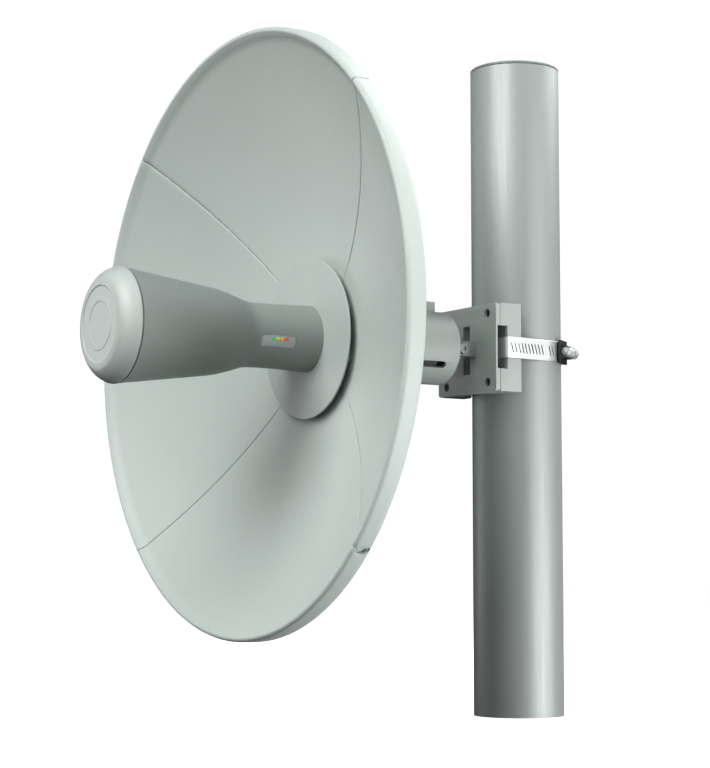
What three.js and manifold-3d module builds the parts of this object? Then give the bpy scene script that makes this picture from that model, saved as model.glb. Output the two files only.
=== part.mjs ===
// Point-to-point radio dish on a short length of mast.
// Units are millimetres, +Z is up and the dish faces -Y.
// The origin is the centre of the mast's lower end.
import * as THREE from "three";
import { mergeVertices } from "three/addons/utils/BufferGeometryUtils.js";
import Module from "manifold-3d";

const wasm = await Module();
wasm.setup();

// ---------- driving dimensions ----------

const GAP = 0.35; // air left between pieces that touch or run in each other

// Mast
const MAST_RADIUS = 31.75;
const MAST_WALL = 2.5;
const MAST_TOP = 462;
const CAP_THICKNESS = 2.2;

// Heights and stations of the antenna, measured from the dish axis
const AXIS_HEIGHT = 255;
const DISC_FACE_Y = -176;
const RIM_FRONT_Y = -229.2;

// Reflector
const DISH_RADIUS = 200;
const DISH_THICKNESS = 1.8;
const VERTEX_Y = -165;
const RIM_BEAD = 2.4;
const SKIRT_DEPTH = 12.3;
const SEAM_GAP = 0.6;
const PETAL_INNER_RADIUS = 28;
const DRAIN_RADIUS = 5;

// Socket behind the dish
const SOCKET_RADIUS = 25.4;
const SOCKET_BORE = 22.6;
const SOCKET_REAR_Y = -66;
const FLANGE_RADIUS = 58;
const FLANGE_REAR_Y = -160;
const COVER_SCREW_RING = 42;
const SCREW_ANGLES = Array.from({ length: 8 }, (_, i) => 22.5 + 45 * i);
const RIB_HALF_WIDTH = 1.5;
const PORT_Y = -110;
const PORT_BOSS_RADIUS = 14;
const PORT_BOSS_END = -29; // height below the dish axis
const PORT_RADIUS = 11.2;
const GRIP_SLOT_HALF_WIDTH = 2.6;
const LATCH_FRONT_Y = -81.3;
const LATCH_REAR_Y = -73.7;
const LATCH_TOP = 32;

// Tilt pivot
const PIVOT_Y = -55;
const TONGUE_HALF_WIDTH = 4;
const TILT_WASHER_RADIUS = 7;
const PIVOT_BOLT_RADIUS = 2.5;
const EAR_INNER_X = 5.2;
const EAR_OUTER_X = 10.6;
const EAR_HALF_HEIGHT = 5;
const TILT_POCKET_HALF_WIDTH = 4;
const TILT_POCKET_HALF_HEIGHT = 17;
const TILT_POCKET_FLOOR_Y = -37;
const TILT_POCKET_WALL = 1.2;

// Bracket
const BRACKET_HALF_WIDTH = 34.4;
const BRACKET_HALF_HEIGHT = 30.6;
const FACE_FRONT_Y = -43.8;
const FACE_THICKNESS = 3.5;
const FRAME_REAR_Y = -22;
const CORNER_SCREW_X = 24.5;
const CORNER_SCREW_Z = 24;
const COUNTERBORE_DEPTH = 2.2;
const SIDE_WALL = 2.8;
const JAW_HEIGHT = 6;
const SLOT_HALF_HEIGHT = 15;
const SLOT_FRONT_Y = -42.4;
const SLOT_REAR_Y = -33.8;
const TEETH_PER_JAW = 8;

// Hose clamp
const BAND_WIDTH = 14.6;
const BAND_THICKNESS = 0.8;
const BAND_CLEARANCE = 0.45;
const BAND_FRONT_Y = -34.6;
const HOUSING_ANGLE = THREE.MathUtils.degToRad(34);
const WORM_AXIS_RADIUS = 38.4;
const WORM_RADIUS = 3.4;

// Radio body
const DISC_RADIUS = 53.7;
const DISC_THICKNESS = 2.5;
const DISC_EDGE = 1.3; // thickness at the rim, which tapers from behind
const SHELL_WALL = 2.6;
const SHELL_REAR_Y = -82;
const BARREL_END = 138.8; // distances along the radio are counted from the disc's face
const CAP_START = 139.9;
const CAP_TIP = 152.4;
const CAP_RADIUS = 37.3;
const WINDOW_ANGLE = THREE.MathUtils.degToRad(-15.7);
const WINDOW_START = 20.5;
const WINDOW_END = 46.5;
const WINDOW_HEIGHT = 7.8;
const LED_ROW_MIDDLE = 32.2;
const LED_SPACING = 3.2;
const LED_HEIGHT = 1.8; // above the window's middle line
const LED_RADIUS = 1;

const ROUND = 40; // sides of the large round pieces
const SMALL_ROUND = 12; // sides of pins, screws and bores

// ---------- materials ----------

function material(color, roughness, metalness = 0) {
  return new THREE.MeshStandardMaterial({ color, roughness, metalness });
}

const paint = material(0xc3cbc6, 0.45);
const capPlastic = material(0xcdd4d0, 0.5);
const bracketCasting = material(0xb2bab6, 0.5, 0.2);
const galvanised = material(0xa9b1ae, 0.4, 0.7);
const stainless = material(0xdfe3e3, 0.25, 1);
const darkSteel = material(0x2a2d2d, 0.45, 0.8);
const blackRubber = material(0x1d1f1f, 0.85);
const lensPlastic = material(0xd9dfd9, 0.3);
const boardGreen = material(0x1f5a3a, 0.6);
const tin = material(0xb9bcbc, 0.35, 0.9);

// ---------- shape helpers ----------

// A geometry as a solid that can be joined and cut, with its faces turned outwards.
function solid(geometry) {
  const bare = geometry.clone();
  bare.deleteAttribute("normal");
  bare.deleteAttribute("uv");
  const merged = mergeVertices(bare, 1e-4);
  const corners = new Uint32Array(merged.index.array);
  const vertProperties = new Float32Array(merged.attributes.position.array);
  const make = () => {
    const mesh = new wasm.Mesh({ numProp: 3, vertProperties, triVerts: corners });
    return new wasm.Manifold(mesh);
  };
  const first = make();
  if (first.volume() > 0) return first;
  for (let i = 0; i < corners.length; i += 3) {
    [corners[i + 1], corners[i + 2]] = [corners[i + 2], corners[i + 1]];
  }
  return make();
}

function geometryOf(body) {
  const mesh = body.getMesh();
  const geometry = new THREE.BufferGeometry();
  geometry.setAttribute("position", new THREE.BufferAttribute(mesh.vertProperties, 3));
  geometry.setIndex(new THREE.BufferAttribute(mesh.triVerts, 1));
  geometry.computeVertexNormals();
  return geometry;
}

function piece(name, body, look) {
  const mesh = new THREE.Mesh(geometryOf(body), look);
  mesh.name = name;
  return mesh;
}

function join(bodies) {
  return bodies.reduce((all, body) => all.add(body));
}

function cut(body, tools) {
  return tools.reduce((rest, tool) => rest.subtract(tool), body);
}

// A solid of revolution about the Y axis from [radius, y] pairs.
function turned(outline, sides = ROUND) {
  return solid(new THREE.LatheGeometry(outline.map(([r, y]) => new THREE.Vector2(r, y)), sides));
}

// A closed ring about the Y axis from [radius, y] pairs that don't touch the axis.
function turnedRing(outline, sides = ROUND) {
  return turned([...outline, outline[0]], sides);
}

function moved(body, x, y, z) {
  return body.translate([x, y, z]);
}

function box(low, high) {
  const size = high.map((value, i) => value - low[i]);
  const centre = high.map((value, i) => (value + low[i]) / 2);
  return moved(solid(new THREE.BoxGeometry(...size)), ...centre);
}

// A cylinder from one end to the other along a row axis, through the point centre.
function rod(axis, radius, from, to, centre = [0, 0], sides = SMALL_ROUND) {
  const geometry = new THREE.CylinderGeometry(radius, radius, to - from, sides);
  const middle = (from + to) / 2;
  if (axis === "x") {
    geometry.rotateZ(Math.PI / 2).translate(middle, centre[0], centre[1]);
  } else if (axis === "y") {
    geometry.translate(centre[0], middle, centre[1]);
  } else {
    geometry.rotateX(Math.PI / 2).translate(centre[0], centre[1], middle);
  }
  return solid(geometry);
}

// A shape in the XY plane pushed up along Z.
function plateZ(shape, from, to, curveSegments = 12) {
  const settings = { depth: to - from, bevelEnabled: false, curveSegments };
  const geometry = new THREE.ExtrudeGeometry(shape, settings);
  return moved(solid(geometry), 0, 0, from);
}

// A shape drawn in (X, Z) pushed along Y.
function plateY(shape, from, to, curveSegments = 12) {
  return moved(plateZ(shape, 0, to - from, curveSegments).rotate([90, 0, 0]), 0, to, 0);
}

// A shape drawn in (Y, Z) pushed along X.
function plateX(shape, from, to, curveSegments = 12) {
  return moved(plateZ(shape, 0, to - from, curveSegments).rotate([90, 0, 90]), from, 0, 0);
}

function polygon(points) {
  return new THREE.Shape(points.map(([x, y]) => new THREE.Vector2(x, y)));
}

function roundedRectangle(halfWidth, halfHeight, radius) {
  const shape = new THREE.Shape();
  shape.moveTo(-halfWidth + radius, -halfHeight);
  shape.lineTo(halfWidth - radius, -halfHeight);
  shape.absarc(halfWidth - radius, -halfHeight + radius, radius, -Math.PI / 2, 0);
  shape.absarc(halfWidth - radius, halfHeight - radius, radius, 0, Math.PI / 2);
  shape.absarc(-halfWidth + radius, halfHeight - radius, radius, Math.PI / 2, Math.PI);
  shape.absarc(-halfWidth + radius, -halfHeight + radius, radius, Math.PI, 1.5 * Math.PI);
  return shape;
}

function spinY(body, degrees) {
  return body.rotate([0, degrees, 0]);
}

// Points of an arc, from one angle to the other in degrees.
function arcPoints(cx, cy, radius, from, to, steps) {
  return Array.from({ length: steps + 1 }, (_, i) => {
    const angle = THREE.MathUtils.degToRad(from + ((to - from) * i) / steps);
    return [cx + radius * Math.cos(angle), cy + radius * Math.sin(angle)];
  });
}

// A smooth outline through a few [radius, distance] pairs.
function smooth(pairs, steps) {
  const curve = new THREE.SplineCurve(pairs.map(([r, d]) => new THREE.Vector2(r, d)));
  return curve.getPoints(steps).map((point) => [point.x, point.y]);
}

// Distance along the radio, from the disc's face towards the tip, as a Y value.
const alongRadio = (distance) => DISC_FACE_Y - distance;

// ---------- mast ----------

function mastTube() {
  const top = MAST_TOP - CAP_THICKNESS - GAP;
  const outside = rod("z", MAST_RADIUS, 0, top, [0, 0], ROUND);
  const inside = rod("z", MAST_RADIUS - MAST_WALL, -1, top + 1, [0, 0], ROUND);
  return outside.subtract(inside);
}

function mastCap() {
  const plugRadius = MAST_RADIUS - MAST_WALL - GAP;
  const plugDepth = 14;
  const lid = rod("z", MAST_RADIUS, MAST_TOP - CAP_THICKNESS, MAST_TOP, [0, 0], ROUND);
  const plug = rod("z", plugRadius, MAST_TOP - plugDepth, MAST_TOP - 1, [0, 0], ROUND);
  const hollow = rod("z", plugRadius - 2, MAST_TOP - plugDepth - 1, MAST_TOP - CAP_THICKNESS,
    [0, 0], ROUND);
  return lid.add(plug).subtract(hollow);
}

// ---------- reflector ----------

const FOCAL_LENGTH = DISH_RADIUS ** 2 / (4 * (VERTEX_Y - RIM_FRONT_Y));

const dishFrontY = (radius) => VERTEX_Y - radius ** 2 / (4 * FOCAL_LENGTH);

const dishBackY = (radius) => {
  const slope = radius / (2 * FOCAL_LENGTH);
  return dishFrontY(radius) + DISH_THICKNESS * Math.hypot(1, slope);
};

function dishCurve(fromRadius, toRadius, steps, height) {
  return Array.from({ length: steps + 1 }, (_, i) => {
    const radius = fromRadius + ((toRadius - fromRadius) * i) / steps;
    return [radius, height(radius)];
  });
}

// The whole bowl: front face, rounded rim, skirt turned back, and back face.
function reflectorBowl() {
  const skirtRear = RIM_FRONT_Y + SKIRT_DEPTH;
  const skirtInner = DISH_RADIUS - DISH_THICKNESS - 0.4;
  const beadRadius = DISH_RADIUS - RIM_BEAD;
  return turnedRing([
    ...dishCurve(PETAL_INNER_RADIUS, DISH_RADIUS - 2.4 * RIM_BEAD, 9, dishFrontY),
    ...arcPoints(beadRadius, RIM_FRONT_Y + RIM_BEAD, RIM_BEAD, -110, 0, 4),
    [DISH_RADIUS, skirtRear],
    [skirtInner, skirtRear],
    ...dishCurve(skirtInner, PETAL_INNER_RADIUS, 9, dishBackY),
  ]);
}

// A point on the antenna at an angle about its axis, from +X towards +Z.
function around(radius, degrees) {
  const angle = THREE.MathUtils.degToRad(degrees);
  return [radius * Math.cos(angle), radius * Math.sin(angle)];
}

// The quarter of the bowl whose middle is at the given angle, less its half of each seam.
function petal(bowl, middle) {
  const apex = around(SEAM_GAP / 2 / Math.sin(Math.PI / 4), middle);
  const reach = DISH_RADIUS * 2;
  const arms = [-45, 45].map((turn) => {
    const [x, z] = around(reach, middle + turn);
    return [apex[0] + x, apex[1] + z];
  });
  const wedge = plateY(polygon([apex, ...arms]), RIM_FRONT_Y - 5, VERTEX_Y + 10);
  const screwHoles = SCREW_ANGLES.map((angle) =>
    rod("y", 1.9, VERTEX_Y - 15, VERTEX_Y + 10, around(COVER_SCREW_RING, angle)),
  );
  return cut(bowl.intersect(wedge), screwHoles);
}

// Half-round drains through the skirt, one at each end of the bottom petal's rim.
function drained(bottomPetal) {
  const middleY = RIM_FRONT_Y + SKIRT_DEPTH / 2 + 0.6;
  const drain = rod("x", DRAIN_RADIUS, DISH_RADIUS - 2.6, DISH_RADIUS + 2, [middleY, 0]);
  return cut(bottomPetal, [-45, -135].map((angle) => spinY(drain, -angle)));
}

// ---------- socket behind the dish ----------

function socketHousing() {
  const wall = SOCKET_RADIUS - SOCKET_BORE;
  const collarRadius = PETAL_INNER_RADIUS - GAP;
  const seat = (radius) => dishBackY(radius) + GAP;
  const collarFrontY = DISC_FACE_Y + DISC_THICKNESS + GAP;
  const body = turned([
    [0, SOCKET_REAR_Y],
    [SOCKET_RADIUS - 2, SOCKET_REAR_Y],
    [SOCKET_RADIUS, SOCKET_REAR_Y - 2],
    [SOCKET_RADIUS, FLANGE_REAR_Y + 6],
    [SOCKET_RADIUS + 3, FLANGE_REAR_Y],
    [FLANGE_RADIUS, FLANGE_REAR_Y],
    ...dishCurve(FLANGE_RADIUS, collarRadius, 4, seat),
    [collarRadius, collarFrontY],
    [SOCKET_BORE, collarFrontY],
    [SOCKET_BORE, SOCKET_REAR_Y - wall],
    [0, SOCKET_REAR_Y - wall],
  ]);
  const tongueOutline = new THREE.Shape();
  tongueOutline.moveTo(SOCKET_REAR_Y - 1, -15);
  tongueOutline.lineTo(SOCKET_REAR_Y + 1, -15);
  tongueOutline.absarc(PIVOT_Y, 0, 9.5, -Math.PI / 3, Math.PI / 3);
  tongueOutline.lineTo(SOCKET_REAR_Y + 1, 15);
  tongueOutline.lineTo(SOCKET_REAR_Y - 1, 15);
  const tongue = plateX(tongueOutline, -TONGUE_HALF_WIDTH, TONGUE_HALF_WIDTH);
  const rib = plateX(
    polygon([[FLANGE_REAR_Y + 40, SOCKET_RADIUS - 1], [FLANGE_REAR_Y - 1, SOCKET_RADIUS - 1],
      [FLANGE_REAR_Y - 1, FLANGE_RADIUS - 3], [FLANGE_REAR_Y + 3, FLANGE_RADIUS - 3]]),
    -RIB_HALF_WIDTH, RIB_HALF_WIDTH,
  );
  const ribs = Array.from({ length: 8 }, (_, i) => spinY(rib, 45 * i));
  const portBoss = rod("z", PORT_BOSS_RADIUS, PORT_BOSS_END, -SOCKET_BORE - 0.5, [0, PORT_Y]);
  const portHole = rod("z", PORT_RADIUS, -40, -10, [0, PORT_Y]);
  const screwHoles = SCREW_ANGLES.map((angle) =>
    rod("y", 1.9, VERTEX_Y - 15, FLANGE_REAR_Y + 1, around(COVER_SCREW_RING, angle)),
  );
  const gripSlots = [-33, -147].map((angle) => {
    const [inner, outer] = [SOCKET_BORE - 3, SOCKET_RADIUS + 3];
    const slot = join([
      box([inner, -128, -GRIP_SLOT_HALF_WIDTH], [outer, -79.6, GRIP_SLOT_HALF_WIDTH]),
      rod("x", GRIP_SLOT_HALF_WIDTH, inner, outer, [-79.6, 0]),
    ]);
    return spinY(slot, -angle);
  });
  const latchHole = box([-5, LATCH_FRONT_Y - GAP, 10], [5, LATCH_REAR_Y + GAP, 40]);
  const pivotHole = rod("x", PIVOT_BOLT_RADIUS + GAP, -20, 20, [PIVOT_Y, 0]);
  return cut(join([body, tongue, ...ribs, portBoss]), [
    portHole, ...screwHoles, ...gripSlots, latchHole, pivotHole,
  ]);
}

// The release tab: a grooved thumb pad above the socket, on a stem with a wider foot inside.
function latchTab() {
  const pad = box([-4.6, LATCH_FRONT_Y, 17], [4.6, LATCH_REAR_Y, LATCH_TOP]);
  const foot = box([-6.5, LATCH_FRONT_Y, 16.4], [6.5, LATCH_REAR_Y, 18.4]);
  const grooves = [2.6, 5].map((back) =>
    box([-5, LATCH_FRONT_Y + back, LATCH_TOP - 1], [5, LATCH_FRONT_Y + back + 1, LATCH_TOP + 1]),
  );
  return cut(pad.add(foot), grooves);
}

function portGrommet() {
  const body = rod("z", PORT_RADIUS - 0.4, PORT_BOSS_END - 1, PORT_BOSS_END + 5, [0, PORT_Y]);
  const flange = rod("z", 13, PORT_BOSS_END - 2.2, PORT_BOSS_END - GAP, [0, PORT_Y]);
  return body.add(flange).subtract(rod("z", 7.8, -35, -20, [0, PORT_Y]));
}

function ethernetJack() {
  const shell = box([-8, PORT_Y - 6, -17.2], [8, PORT_Y + 6, -3]);
  const cavity = box([-6.2, PORT_Y - 4.3, -20], [6.2, PORT_Y + 4.3, -5.5]);
  return shell.subtract(cavity);
}

// A pan-headed screw along Y: head behind the flange, shank forward.
function reflectorScrew(angle) {
  const centre = around(COVER_SCREW_RING, angle);
  const seatY = FLANGE_REAR_Y + GAP;
  const head = rod("y", 3.2, seatY, seatY + 2.4, centre);
  const shank = rod("y", 1.5, FLANGE_REAR_Y - 12, FLANGE_REAR_Y + 1, centre);
  const drive = rod("y", 1.3, FLANGE_REAR_Y + 1.6, FLANGE_REAR_Y + 5, centre, 6);
  return head.add(shank).subtract(drive);
}

// ---------- radio body ----------

// Outer outline of the bottle-shaped shell in front of the disc: a straight neck and a flared barrel.
const NECK_AND_BARREL = [
  [22.3, 0], [21.8, 12], [21.4, 24], [21.3, 40], [22, 50], [24.8, 59], [27.9, 71],
  [30.3, 88], [32.6, 106], [35, 124], [36.9, BARREL_END],
];

function radioShell() {
  const outside = smooth(NECK_AND_BARREL, 15);
  const insideOf = ([r, d]) => [r - SHELL_WALL, d];
  const inside = smooth(NECK_AND_BARREL, 7).map(insideOf);
  const mouth = CAP_RADIUS - 3.4;
  const rearRadius = SOCKET_BORE - 0.9;
  const rear = DISC_FACE_Y - SHELL_REAR_Y;
  const body = turned([
    [0, alongRadio(rear)],
    [rearRadius - 2, SHELL_REAR_Y],
    [rearRadius, SHELL_REAR_Y - 2],
    [rearRadius, alongRadio(-6)],
    ...outside.map(([r, d]) => [r, alongRadio(d)]),
    [mouth, alongRadio(BARREL_END)],
    [mouth, alongRadio(BARREL_END - 7)],
    ...inside.filter(([, d]) => d < BARREL_END - 9).reverse().map(([r, d]) => [r, alongRadio(d)]),
    [rearRadius - SHELL_WALL, alongRadio(-6)],
    [rearRadius - SHELL_WALL, SHELL_REAR_Y - SHELL_WALL],
    [0, SHELL_REAR_Y - SHELL_WALL],
  ]);
  const portHole = rod("z", 10.5, -40, -12, [0, PORT_Y]);
  return cut(body, [portHole, windowBlock(GAP, 19.7)]);
}

// The curved block that the status window fills, larger by the margin all round.
function windowBlock(margin, innerRadius) {
  const halfLength = (WINDOW_END - WINDOW_START) / 2;
  const outline = roundedRectangle(halfLength + margin, WINDOW_HEIGHT / 2 + margin, 1.5 + margin);
  const middle = alongRadio((WINDOW_START + WINDOW_END) / 2);
  const bar = moved(plateX(outline, 15, 30, 4), 0, middle, 0);
  const ring = turnedRing([
    [innerRadius, middle - 20], [40, middle - 20], [40, middle + 20], [innerRadius, middle + 20],
  ]);
  return spinY(bar.intersect(ring), THREE.MathUtils.radToDeg(-WINDOW_ANGLE));
}

// A status light: a short rod that points outwards in the upper half of the window.
function ledRod(index, radius, from, to) {
  const distance = LED_ROW_MIDDLE + (index - 1.5) * LED_SPACING;
  const lamp = rod("x", radius, from, to, [alongRadio(distance), LED_HEIGHT]);
  return spinY(lamp, THREE.MathUtils.radToDeg(-WINDOW_ANGLE));
}

function ledWindow() {
  const ring = turnedRing([
    [20, alongRadio(60)], [21.5, alongRadio(60)], [21.5, alongRadio(10)], [20, alongRadio(10)],
  ]);
  const holes = [0, 1, 2, 3].map((index) => ledRod(index, LED_RADIUS + GAP, 10, 30));
  return cut(windowBlock(0, 20).intersect(ring), holes);
}

function frontCap() {
  const spigot = CAP_RADIUS - 3.9;
  const wall = 2.4;
  const roundFace = 26;
  const shoulder = smooth([
    [CAP_RADIUS, CAP_START], [CAP_RADIUS - 0.5, CAP_TIP - 9], [CAP_RADIUS - 3.2, CAP_TIP - 4.6],
    [CAP_RADIUS - 7.6, CAP_TIP - 1.2], [roundFace, CAP_TIP],
  ], 7);
  return turned([
    [0, alongRadio(CAP_TIP - 0.6)],
    [23.6, alongRadio(CAP_TIP - 0.6)],
    [24.5, alongRadio(CAP_TIP)],
    ...shoulder.reverse().map(([r, d]) => [r, alongRadio(d)]),
    [spigot, alongRadio(CAP_START)],
    [spigot, alongRadio(BARREL_END - 5)],
    [spigot - wall, alongRadio(BARREL_END - 5)],
    [spigot - wall, alongRadio(CAP_TIP - 10)],
    [spigot - 5, alongRadio(CAP_TIP - wall - 1)],
    [0, alongRadio(CAP_TIP - wall - 0.6)],
  ]);
}

function capSeal() {
  const inner = CAP_RADIUS - 3.9 + GAP;
  const outer = CAP_RADIUS - 0.9;
  return turnedRing([
    [inner, alongRadio(BARREL_END + GAP)], [inner, alongRadio(CAP_START - GAP)],
    [outer, alongRadio(CAP_START - GAP)], [outer, alongRadio(BARREL_END + GAP)],
  ]);
}

// The round cover over the petals' inner ends, on eight bosses that take the screws.
function baseDisc() {
  const hole = SOCKET_BORE + 0.4;
  const rear = DISC_FACE_Y + DISC_THICKNESS;
  const disc = turnedRing([
    [hole, DISC_FACE_Y], [hole, rear], [DISC_RADIUS - 5, rear],
    [DISC_RADIUS - 0.4, DISC_FACE_Y + DISC_EDGE], [DISC_RADIUS, DISC_FACE_Y + DISC_EDGE - 0.4],
    [DISC_RADIUS, DISC_FACE_Y + 0.6], [DISC_RADIUS - 0.6, DISC_FACE_Y],
  ]);
  const seatY = dishFrontY(COVER_SCREW_RING - 4.5) - GAP - 1;
  const places = SCREW_ANGLES.map((angle) => around(COVER_SCREW_RING, angle));
  const bosses = places.map((place) => rod("y", 4.5, rear - 0.5, seatY, place, 16));
  const bores = places.map((place) => rod("y", 1.85, rear - 1, seatY + 5, place));
  return cut(join([disc, ...bosses]), bores);
}

function circuitBoard() {
  const board = box([-17, alongRadio(124), -0.8], [17, -90, 0.8]);
  const postSlot = rod("y", 3.4, alongRadio(126), alongRadio(116));
  return board.subtract(postSlot);
}

function shieldCan(from, to) {
  return box([-11, alongRadio(to), 0.8 + GAP], [11, alongRadio(from), 4.6]);
}

// A round post down the middle that carries the splash plate in front of it.
function feedPost() {
  const stem = rod("y", 3, alongRadio(143), alongRadio(117));
  const horn = rod("y", 14, alongRadio(131), alongRadio(128), [0, 0], ROUND / 2);
  return stem.add(horn);
}

function splashPlate() {
  return turned([
    [0, alongRadio(147)], [24, alongRadio(147)], [26, alongRadio(145.8)], [24, alongRadio(145)],
    [8, alongRadio(144.6)], [0, alongRadio(143 + GAP)],
  ], ROUND / 2);
}

// ---------- bracket ----------

const FACE_REAR_Y = FACE_FRONT_Y + FACE_THICKNESS;
const sides = [-1, 1];

function cornerPlaces() {
  return sides.flatMap((x) => sides.map((z) => [x * CORNER_SCREW_X, z * CORNER_SCREW_Z]));
}

// A box that is the same on either side of the middle: side is -1 or 1, x counts outwards.
function sideBox(side, [innerX, outerX], [fromY, toY], [lowZ, highZ]) {
  const [lowX, highX] = side > 0 ? [innerX, outerX] : [-outerX, -innerX];
  return box([lowX, fromY, lowZ], [highX, toY, highZ]);
}

// The cut that lets the band in and out at one side.
function bandSlot(side, innerX, fromY, toY) {
  const outerX = BRACKET_HALF_WIDTH + 2;
  return sideBox(side, [innerX, outerX], [fromY, toY], [-SLOT_HALF_HEIGHT, SLOT_HALF_HEIGHT]);
}

// The front plate: two ears that hold the tilt bolt, and an upright pocket between them.
function bracketFace() {
  const outline = roundedRectangle(BRACKET_HALF_WIDTH, BRACKET_HALF_HEIGHT, 2.2);
  const plate = plateY(outline, FACE_FRONT_Y, FACE_REAR_Y, 4);
  const earOutline = new THREE.Shape();
  earOutline.moveTo(FACE_FRONT_Y + 1, -EAR_HALF_HEIGHT);
  earOutline.lineTo(FACE_FRONT_Y + 1, EAR_HALF_HEIGHT);
  earOutline.absarc(PIVOT_Y, 0, EAR_HALF_HEIGHT, Math.PI / 2, 1.5 * Math.PI);
  const ears = [
    plateX(earOutline, EAR_INNER_X, EAR_OUTER_X),
    plateX(earOutline, -EAR_OUTER_X, -EAR_INNER_X),
  ];
  const boltHole = rod("x", PIVOT_BOLT_RADIUS + GAP, -20, 20, [PIVOT_Y, 0]);
  const [before, after] = [FACE_FRONT_Y - 1, FACE_REAR_Y + 1];
  const cornerHoles = cornerPlaces().flatMap((place) => [
    rod("y", 1.9, before, after, place),
    rod("y", 3.1, before, FACE_FRONT_Y + COUNTERBORE_DEPTH, place),
  ]);
  const bandSlots = sides.map((side) => bandSlot(side, 29, SLOT_FRONT_Y, after));
  const pocket = (wall, fromY) => {
    const [x, z] = [TILT_POCKET_HALF_WIDTH + wall, TILT_POCKET_HALF_HEIGHT + wall];
    return box([-x, fromY, -z], [x, TILT_POCKET_FLOOR_Y + wall, z]);
  };
  const solids = join([plate, ...ears, pocket(TILT_POCKET_WALL, FACE_FRONT_Y + 1)]);
  return cut(solids, [boltHole, ...cornerHoles, ...bandSlots, pocket(0, before)]);
}

// The rear edge of a jaw: two toothed flanks that meet in front of the mast.
function jawOutline() {
  const reach = MAST_RADIUS + GAP;
  const flank = THREE.MathUtils.degToRad(35);
  const root = -reach / Math.cos(flank);
  const tooth = 1.1;
  const pitch = (CORNER_SCREW_X + 0.6) / Math.cos(flank) / TEETH_PER_JAW;
  const halfEdge = [];
  for (let i = 0; i < TEETH_PER_JAW; i += 1) {
    const start = i * pitch;
    const middle = start + pitch / 2;
    halfEdge.push([start * Math.cos(flank), root + start * Math.sin(flank)]);
    halfEdge.push([
      middle * Math.cos(flank) + tooth * Math.sin(flank),
      root + middle * Math.sin(flank) - tooth * Math.cos(flank),
    ]);
  }
  const right = halfEdge.filter(([, y]) => y < FRAME_REAR_Y - 0.4);
  const left = right.slice(1).reverse().map(([x, y]) => [-x, y]);
  const front = FACE_REAR_Y + GAP;
  return polygon([
    [-BRACKET_HALF_WIDTH + 1, front], [-BRACKET_HALF_WIDTH + 1, FRAME_REAR_Y],
    [-CORNER_SCREW_X - 1, FRAME_REAR_Y], ...left, ...right,
    [CORNER_SCREW_X + 1, FRAME_REAR_Y], [BRACKET_HALF_WIDTH - 1, FRAME_REAR_Y],
    [BRACKET_HALF_WIDTH - 1, front],
  ]);
}

// The frame behind the plate: side walls with band slots, and a toothed jaw at top and bottom.
function bracketFrame() {
  const front = FACE_REAR_Y + GAP;
  const wallX = [BRACKET_HALF_WIDTH - SIDE_WALL, BRACKET_HALF_WIDTH];
  const wallZ = [-BRACKET_HALF_HEIGHT, BRACKET_HALF_HEIGHT];
  const walls = sides.map((side) => sideBox(side, wallX, [front, FRAME_REAR_Y], wallZ));
  const jaw = jawOutline();
  const jaws = [
    plateZ(jaw, -BRACKET_HALF_HEIGHT, -BRACKET_HALF_HEIGHT + JAW_HEIGHT),
    plateZ(jaw, BRACKET_HALF_HEIGHT - JAW_HEIGHT, BRACKET_HALF_HEIGHT),
  ];
  const bosses = cornerPlaces().map((place) => rod("y", 4.2, front, front + 9, place));
  const bores = cornerPlaces().map((place) => rod("y", 1.85, front - 1, front + 7, place));
  const slots = sides.map((side) => bandSlot(side, 30, front - 1, SLOT_REAR_Y));
  return cut(join([...walls, ...jaws, ...bosses]), [...bores, ...slots]);
}

function cornerScrew([x, z]) {
  const seatY = FACE_FRONT_Y + COUNTERBORE_DEPTH - GAP;
  const head = rod("y", 2.7, FACE_FRONT_Y + 0.3, seatY, [x, z], 16);
  const shank = rod("y", 1.5, FACE_FRONT_Y + 1, FACE_REAR_Y + 6, [x, z], 12);
  const drive = rod("y", 1.2, FACE_FRONT_Y - 1, FACE_FRONT_Y + 1.2, [x, z], 6);
  return head.add(shank).subtract(drive);
}

// ---------- tilt pivot ----------

function pivotBolt() {
  const head = rod("x", 4.2, EAR_OUTER_X + GAP, EAR_OUTER_X + 3.6, [PIVOT_Y, 0]);
  const shank = rod("x", PIVOT_BOLT_RADIUS, -EAR_OUTER_X - 5.5, EAR_OUTER_X + 1, [PIVOT_Y, 0]);
  const drive = rod("x", 1.8, EAR_OUTER_X + 1.4, EAR_OUTER_X + 5, [PIVOT_Y, 0], 6);
  return head.add(shank).subtract(drive);
}

function pivotNut() {
  const hexagon = rod("x", 4.6, -EAR_OUTER_X - 4.4, -EAR_OUTER_X - GAP, [PIVOT_Y, 0], 6);
  return hexagon.subtract(rod("x", PIVOT_BOLT_RADIUS + GAP, -30, 0, [PIVOT_Y, 0]));
}

function pivotWasher(side) {
  const inner = TONGUE_HALF_WIDTH + 0.3;
  const outer = EAR_INNER_X - 0.3;
  const [from, to] = side > 0 ? [inner, outer] : [-outer, -inner];
  return rod("x", TILT_WASHER_RADIUS, from, to, [PIVOT_Y, 0])
    .subtract(rod("x", PIVOT_BOLT_RADIUS + GAP, from - 1, to + 1, [PIVOT_Y, 0]));
}

// ---------- hose clamp ----------

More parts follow.
